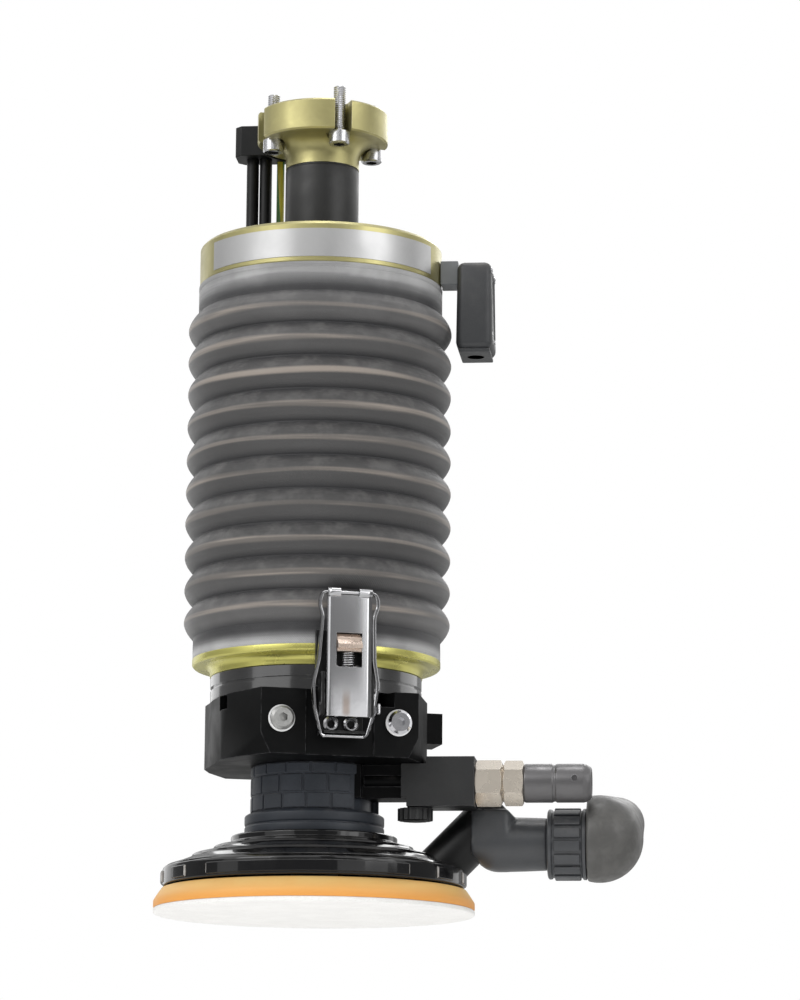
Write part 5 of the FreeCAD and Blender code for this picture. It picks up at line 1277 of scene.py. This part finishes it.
class FLANGE_OT_dust_outlet(Operator):
    """Make the dust port, the tube, the ribbed cuff and the swivelling elbow"""

    bl_idname = "flange.dust_outlet"
    bl_label = "Dust outlet"

    def execute(self, context):
        fit(self.make_port(), "black_pressed_steel", "carriage", "black_plastic", "dust_port")
        fit(self.make_tube(), "moulded_dust_tube", "carriage", "grey_plastic", "dust_tube")
        fit(self.make_cuff(), "moulded_dust_tube", "carriage", "black_plastic", "dust_cuff")
        fit(self.make_elbow(), "mottled_elbow_plastic", "elbow", "grey_plastic", "dust_elbow")
        return {"FINISHED"}

    def make_port(self):
        """The port that rises out of the skirt, up to the tube."""
        port = self.rising_bar("port_stub", radius=11.5, start=-20.6, end=18)
        for room in (block("port_end", (76.4, -20, -390), (110, 40, -310), 0.1),
                     block("port_foot", (30, -20, -400), (110, 40, -371), 0.1), self.inlet_room()):
            cut(port, room)
        return soften(port, 0.5)

    def make_tube(self):
        """The tube: a broad shoulder over the rising port, run into a level pipe with an open end."""
        radius, bore, bend = 12.9, 11.2, 86.0
        dome = []
        for turn in range(0, 90, 6):
            across, rise = on_circle(radius, turn)
            dome.append((across, bend + rise))
        tube = turned("smooth_tube", dome + [(radius, bend), (radius, 90.0), (0, 90.0)], steps=80, **ON_DUST)
        join(tube, self.rising_bar("tube_rise", radius=12.0, start=-0.8, end=25.7))
        hull(tube)
        for room in (block("rise_start", (40, -20, -390), (73.8, 40, -310), 0.1), self.inlet_room()):
            cut(tube, room)
        join(tube, turned("level_tube", [(0, bend), (radius, bend), (12.6, 98.0), (12.2, CUFF_START),
                                         (0, CUFF_START)], steps=80, **ON_DUST))
        melt(tube, voxel=0.6, passes=8)
        cut(tube, turned("tube_bore", [(0, 84), (bore, 84), (bore, 120), (0, 120)], steps=64, **ON_DUST))
        return smooth(tube, 50)

    def make_cuff(self):
        """The ribbed ring that the elbow turns in, with lugs all round."""
        bore, lugs = 11.2, 16
        cuff = turned("ribbed_cuff", [
            (bore, CUFF_START), (15.4, CUFF_START), (16.3, 109.6), (16.3, 110.9), (15.6, 111.5),
            (15.6, 125.0), (16.6, 125.6), (16.6, CUFF_END), (bore, CUFF_END)], ease=0.25, steps=80, **ON_DUST)
        lug = arc_block("cuff_lugs", [(15.3, 112.3), (16.9, 112.3), (16.9, 124.4), (15.3, 124.4)],
                        start=0, sweep=17, steps=4, edge=0.5)
        copies(lug, [round_z(360 / lugs * step) for step in range(1, lugs)])
        return join(cuff, settle(lug, DUST_AXIS, ALONG_X))

    def rising_bar(self, name, radius, start, end):
        """A bar that rises at 45 degrees out of the skirt, between two distances along its axis."""
        crossing = (69.6, *DUST_AXIS[1:])
        return settle(prism(name, 64, radius, end - start, (0, 0, start)), crossing, (0, 45, 0))

    def inlet_room(self):
        """The room that the valve body and the hexagons need in front of the tube."""
        return block("inlet_room", (40, -30, -337.7), (110, 0.7, -300), 0.1)

    def make_elbow(self):
        """The elbow's dome and outlet drawn into one bend, with the way through kept open."""
        elbow = eased_node("dust_elbow", "swivel_elbow", 0.2)
        bend = hull(join(self.outlet_bar("elbow_bend", radius=12.6, start=2, height=40),
                         self.dome("elbow_dome", 20.5)))
        front = block("elbow_front", (100, -30, -390), (CUFF_END + 0.2, 60, -310), 0.1)
        for room in (front, self.dome("dome_room", 17.7),
                     self.outlet_bar("outlet_bore", radius=9.8, start=0, height=50),
                     self.outlet_bar("outlet_socket", radius=11, start=24, height=20)):
            cut(bend, room)
        melt(join(elbow, bend), voxel=0.7, passes=24)
        work_on(elbow)
        bpy.ops.object.shade_smooth()
        return elbow

    def outlet_bar(self, name, radius, start, height):
        """A bar on the outlet's axis, up and back, from a distance off the swivel axis."""
        crossing = (140, *DUST_AXIS[1:])
        return settle(prism(name, 64, radius, height, (0, 0, start)), crossing, (-70, 0, 0))

    def dome(self, name, radius):
        """A ball in the elbow's corner, a little up and back from the swivel axis."""
        made = start_with(bpy.ops.mesh.primitive_uv_sphere_add, name, segments=64, ring_count=32,
                          radius=radius * MM)
        return settle(made, (132.8, 10.83, -350.17))


class FLANGE_OT_inner_works(Operator):
    """Finish the cylinder, guides, sensor, board, valve and motor inside"""

    bl_idname = "flange.inner_works"
    bl_label = "Inner works"

    def execute(self, context):
        dress("turned_aluminium", "cylinder_tube", "cylinder_end_cap", "guide_housing", "load_cell", "piston")
        dress("ground_steel_bar", "piston_rod", "guide_shafts", "sensor_rod", "rotor_spindle", "motor_liner")
        dress("plated_screw_steel", "position_sensor", "motor_bearings")
        dress("sintered_bronze", "plain_bushes")
        dress("black_seal_rubber", "seals")
        dress("grey_valve_plastic", "pressure_valve")
        dress("green_board_lacquer", "control_board")
        return {"FINISHED"}


class FLANGE_OT_stage(Operator):
    """Set up the floor, the lamps, the world and the camera"""

    bl_idname = "flange.stage"
    bl_label = "Stage"

    def execute(self, context):
        stage = context.scene.flange_stage
        self.make_world(context.scene, stage)
        self.make_floor(stage)
        self.make_cards(stage)
        aim = Vector((0.039, 0, -0.19))
        for name, power, size, place in (("key_lamp", stage.key, 1.3, (-1.5, -1.7, 1.2)),
                                         ("fill_lamp", stage.fill, 1.1, (1.9, -1.2, 0.4)),
                                         ("back_lamp", stage.fill, 1.0, (0.6, 2.0, 0.9)),
                                         ("top_lamp", stage.top, 0.6, (0.1, 0.1, 1.7)),
                                         ("low_lamp", stage.low, 0.8, (-0.2, -0.9, -1.2))):
            lamp = bpy.data.lights.new(name, "AREA")
            lamp.energy, lamp.size = power, size
            holder = self.hold(context.scene, lamp, place, aim)
            holder.visible_camera = False
        camera = bpy.data.cameras.new("photo_view")
        camera.lens, camera.sensor_fit = stage.lens, "AUTO"
        camera.clip_start, camera.clip_end = 0.05, 50.0
        eye = (0.21374, -1.78876, -0.54332)
        context.scene.camera = self.hold(context.scene, camera, eye, aim, tilt=0.466)
        context.scene.view_settings.view_transform = "Standard"
        return {"FINISHED"}

    def hold(self, scene, data, place, aim, tilt=0.0):
        """Puts a lamp or camera at a place, pointed at its aim and tilted by an angle."""
        holder = bpy.data.objects.new(data.name, data)
        scene.collection.objects.link(holder)
        holder.location = place
        gaze = (aim - holder.location).to_track_quat("-Z", "Y").to_matrix().to_4x4()
        holder.rotation_euler = (gaze @ round_z(tilt)).to_euler()
        return holder

    def make_world(self, scene, stage):
        """White behind the object and in its reflections, and a plain level of light on it."""
        scene.world = bpy.data.worlds.new("studio")
        scene.world.use_nodes = True
        tree = scene.world.node_tree
        path = node(tree, "LightPath").outputs
        seen = maths(tree, "MAXIMUM", path["Is Camera Ray"], path["Is Glossy Ray"])
        seen = maths(tree, "MAXIMUM", seen, path["Is Transmission Ray"])
        light = tree.nodes["Background"]
        light.inputs["Color"].default_value = WHITE
        light.inputs["Strength"].default_value = stage.ambient
        white = node(tree, "Background", {"Color": WHITE, "Strength": 1.0})
        mixed = node(tree, "MixShader", {0: seen, 1: light.outputs[0], 2: white.outputs[0]})
        tree.links.new(mixed.outputs[0], tree.nodes["World Output"].inputs["Surface"])

    def make_cards(self, stage):
        """Upright cards all round, seen only in reflections: a dim room with windows and posts above."""
        reach, sides = 3000, 120
        for name, base, height, dim, bright, windows in (
                ("low_cards", -1900, 1870, 1.0, 4, LOW_WINDOWS),
                ("middle_cards", -30, 980, 1.0, 4, MIDDLE_WINDOWS),
                ("high_cards", 950, 1350, 0.3, 7, HIGH_WINDOWS)):
            cards = prism(name, sides, reach, height, (0, 0, base))
            edit(cards)
            select_faces(cards, lambda centre, normal: abs(normal.z) > 0.5)
            bpy.ops.mesh.delete(type="FACE")
            leave_edit()
            for level, share in (("_dim", dim), ("_lit", bright)):
                material = bpy.data.materials.new(name + level)
                material.use_nodes = True
                tree = material.node_tree
                glow = node(tree, "Emission", {"Color": WHITE, "Strength": stage.card * share})
                tree.links.new(glow.outputs[0], tree.nodes["Material Output"].inputs["Surface"])

            def lit(centre, normal):
                around = math.degrees(math.atan2(centre.x, -centre.y))
                return any(start < around < end for start, end in windows)

            second_finish(cards, name + "_dim", name + "_lit", lit)
            for kind in ("camera", "diffuse", "transmission", "shadow", "volume_scatter"):
                setattr(cards, "visible_" + kind, False)

    def make_floor(self, stage):
        """A pale disc of floor that fades out and is clear from below."""
        floor = bake_place(start_with(bpy.ops.mesh.primitive_circle_add, "studio_floor", vertices=96,
                                      radius=2.4, fill_type="NGON", location=(0, 0, -stage.floor_drop)))
        tree, shader, place = new_finish("pale_floor", Base_Color=(*stage.floor, 1.0), Roughness=0.8,
                                         Specular_IOR_Level=0.2)
        reach = node(tree, "VectorMath", {0: place}, operation="LENGTH").outputs["Value"]
        faded = ramp(tree, reach, 0.9, 2.2)
        gone = maths(tree, "MAXIMUM", faded, node(tree, "NewGeometry").outputs["Backfacing"])
        clear = node(tree, "BsdfTransparent")
        mixed = node(tree, "MixShader", {0: gone, 1: shader.outputs[0], 2: clear.outputs[0]})
        tree.links.new(mixed.outputs[0], tree.nodes["Material Output"].inputs["Surface"])
        floor.data.materials.append(bpy.data.materials["pale_floor"])
        floor.visible_shadow = False


STEPS = (FLANGE_OT_finishes, FLANGE_OT_adapter, FLANGE_OT_top_cover, FLANGE_OT_bellows,
         FLANGE_OT_lower_flange, FLANGE_OT_clamp_block, FLANGE_OT_latches, FLANGE_OT_side_box,
         FLANGE_OT_lines, FLANGE_OT_grip, FLANGE_OT_skirt, FLANGE_OT_air_inlet, FLANGE_OT_dust_outlet,
         FLANGE_OT_inner_works, FLANGE_OT_stage)
SETTINGS = {"flange_colours": FlangeColours, "flange_bellows": BellowsSizes, "flange_grip": GripSizes,
            "flange_stage": StageSettings}


class FLANGE_PT_panel(Panel):
    """Lists the pieces and their settings"""

    bl_idname = "FLANGE_PT_panel"
    bl_label = "Contact flange"
    bl_space_type = "VIEW_3D"
    bl_region_type = "UI"
    bl_category = "Contact flange"

    def draw(self, context):
        for name, kind in SETTINGS.items():
            column = self.layout.column()
            for key in kind.__annotations__:
                column.prop(getattr(context.scene, name), key)
        for step in STEPS:
            self.layout.operator(step.bl_idname)


def register():
    for kind in (*SETTINGS.values(), *STEPS, FLANGE_PT_panel):
        bpy.utils.register_class(kind)
    for name, kind in SETTINGS.items():
        setattr(bpy.types.Scene, name, PointerProperty(type=kind))


def unregister():
    for name in SETTINGS:
        delattr(bpy.types.Scene, name)
    for kind in (FLANGE_PT_panel, *reversed(STEPS), *reversed(SETTINGS.values())):
        bpy.utils.unregister_class(kind)


def main():
    register()
    for step in STEPS:
        family, action = step.bl_idname.split(".")
        getattr(getattr(bpy.ops, family), action)()


if __name__ == "__main__":
    main()
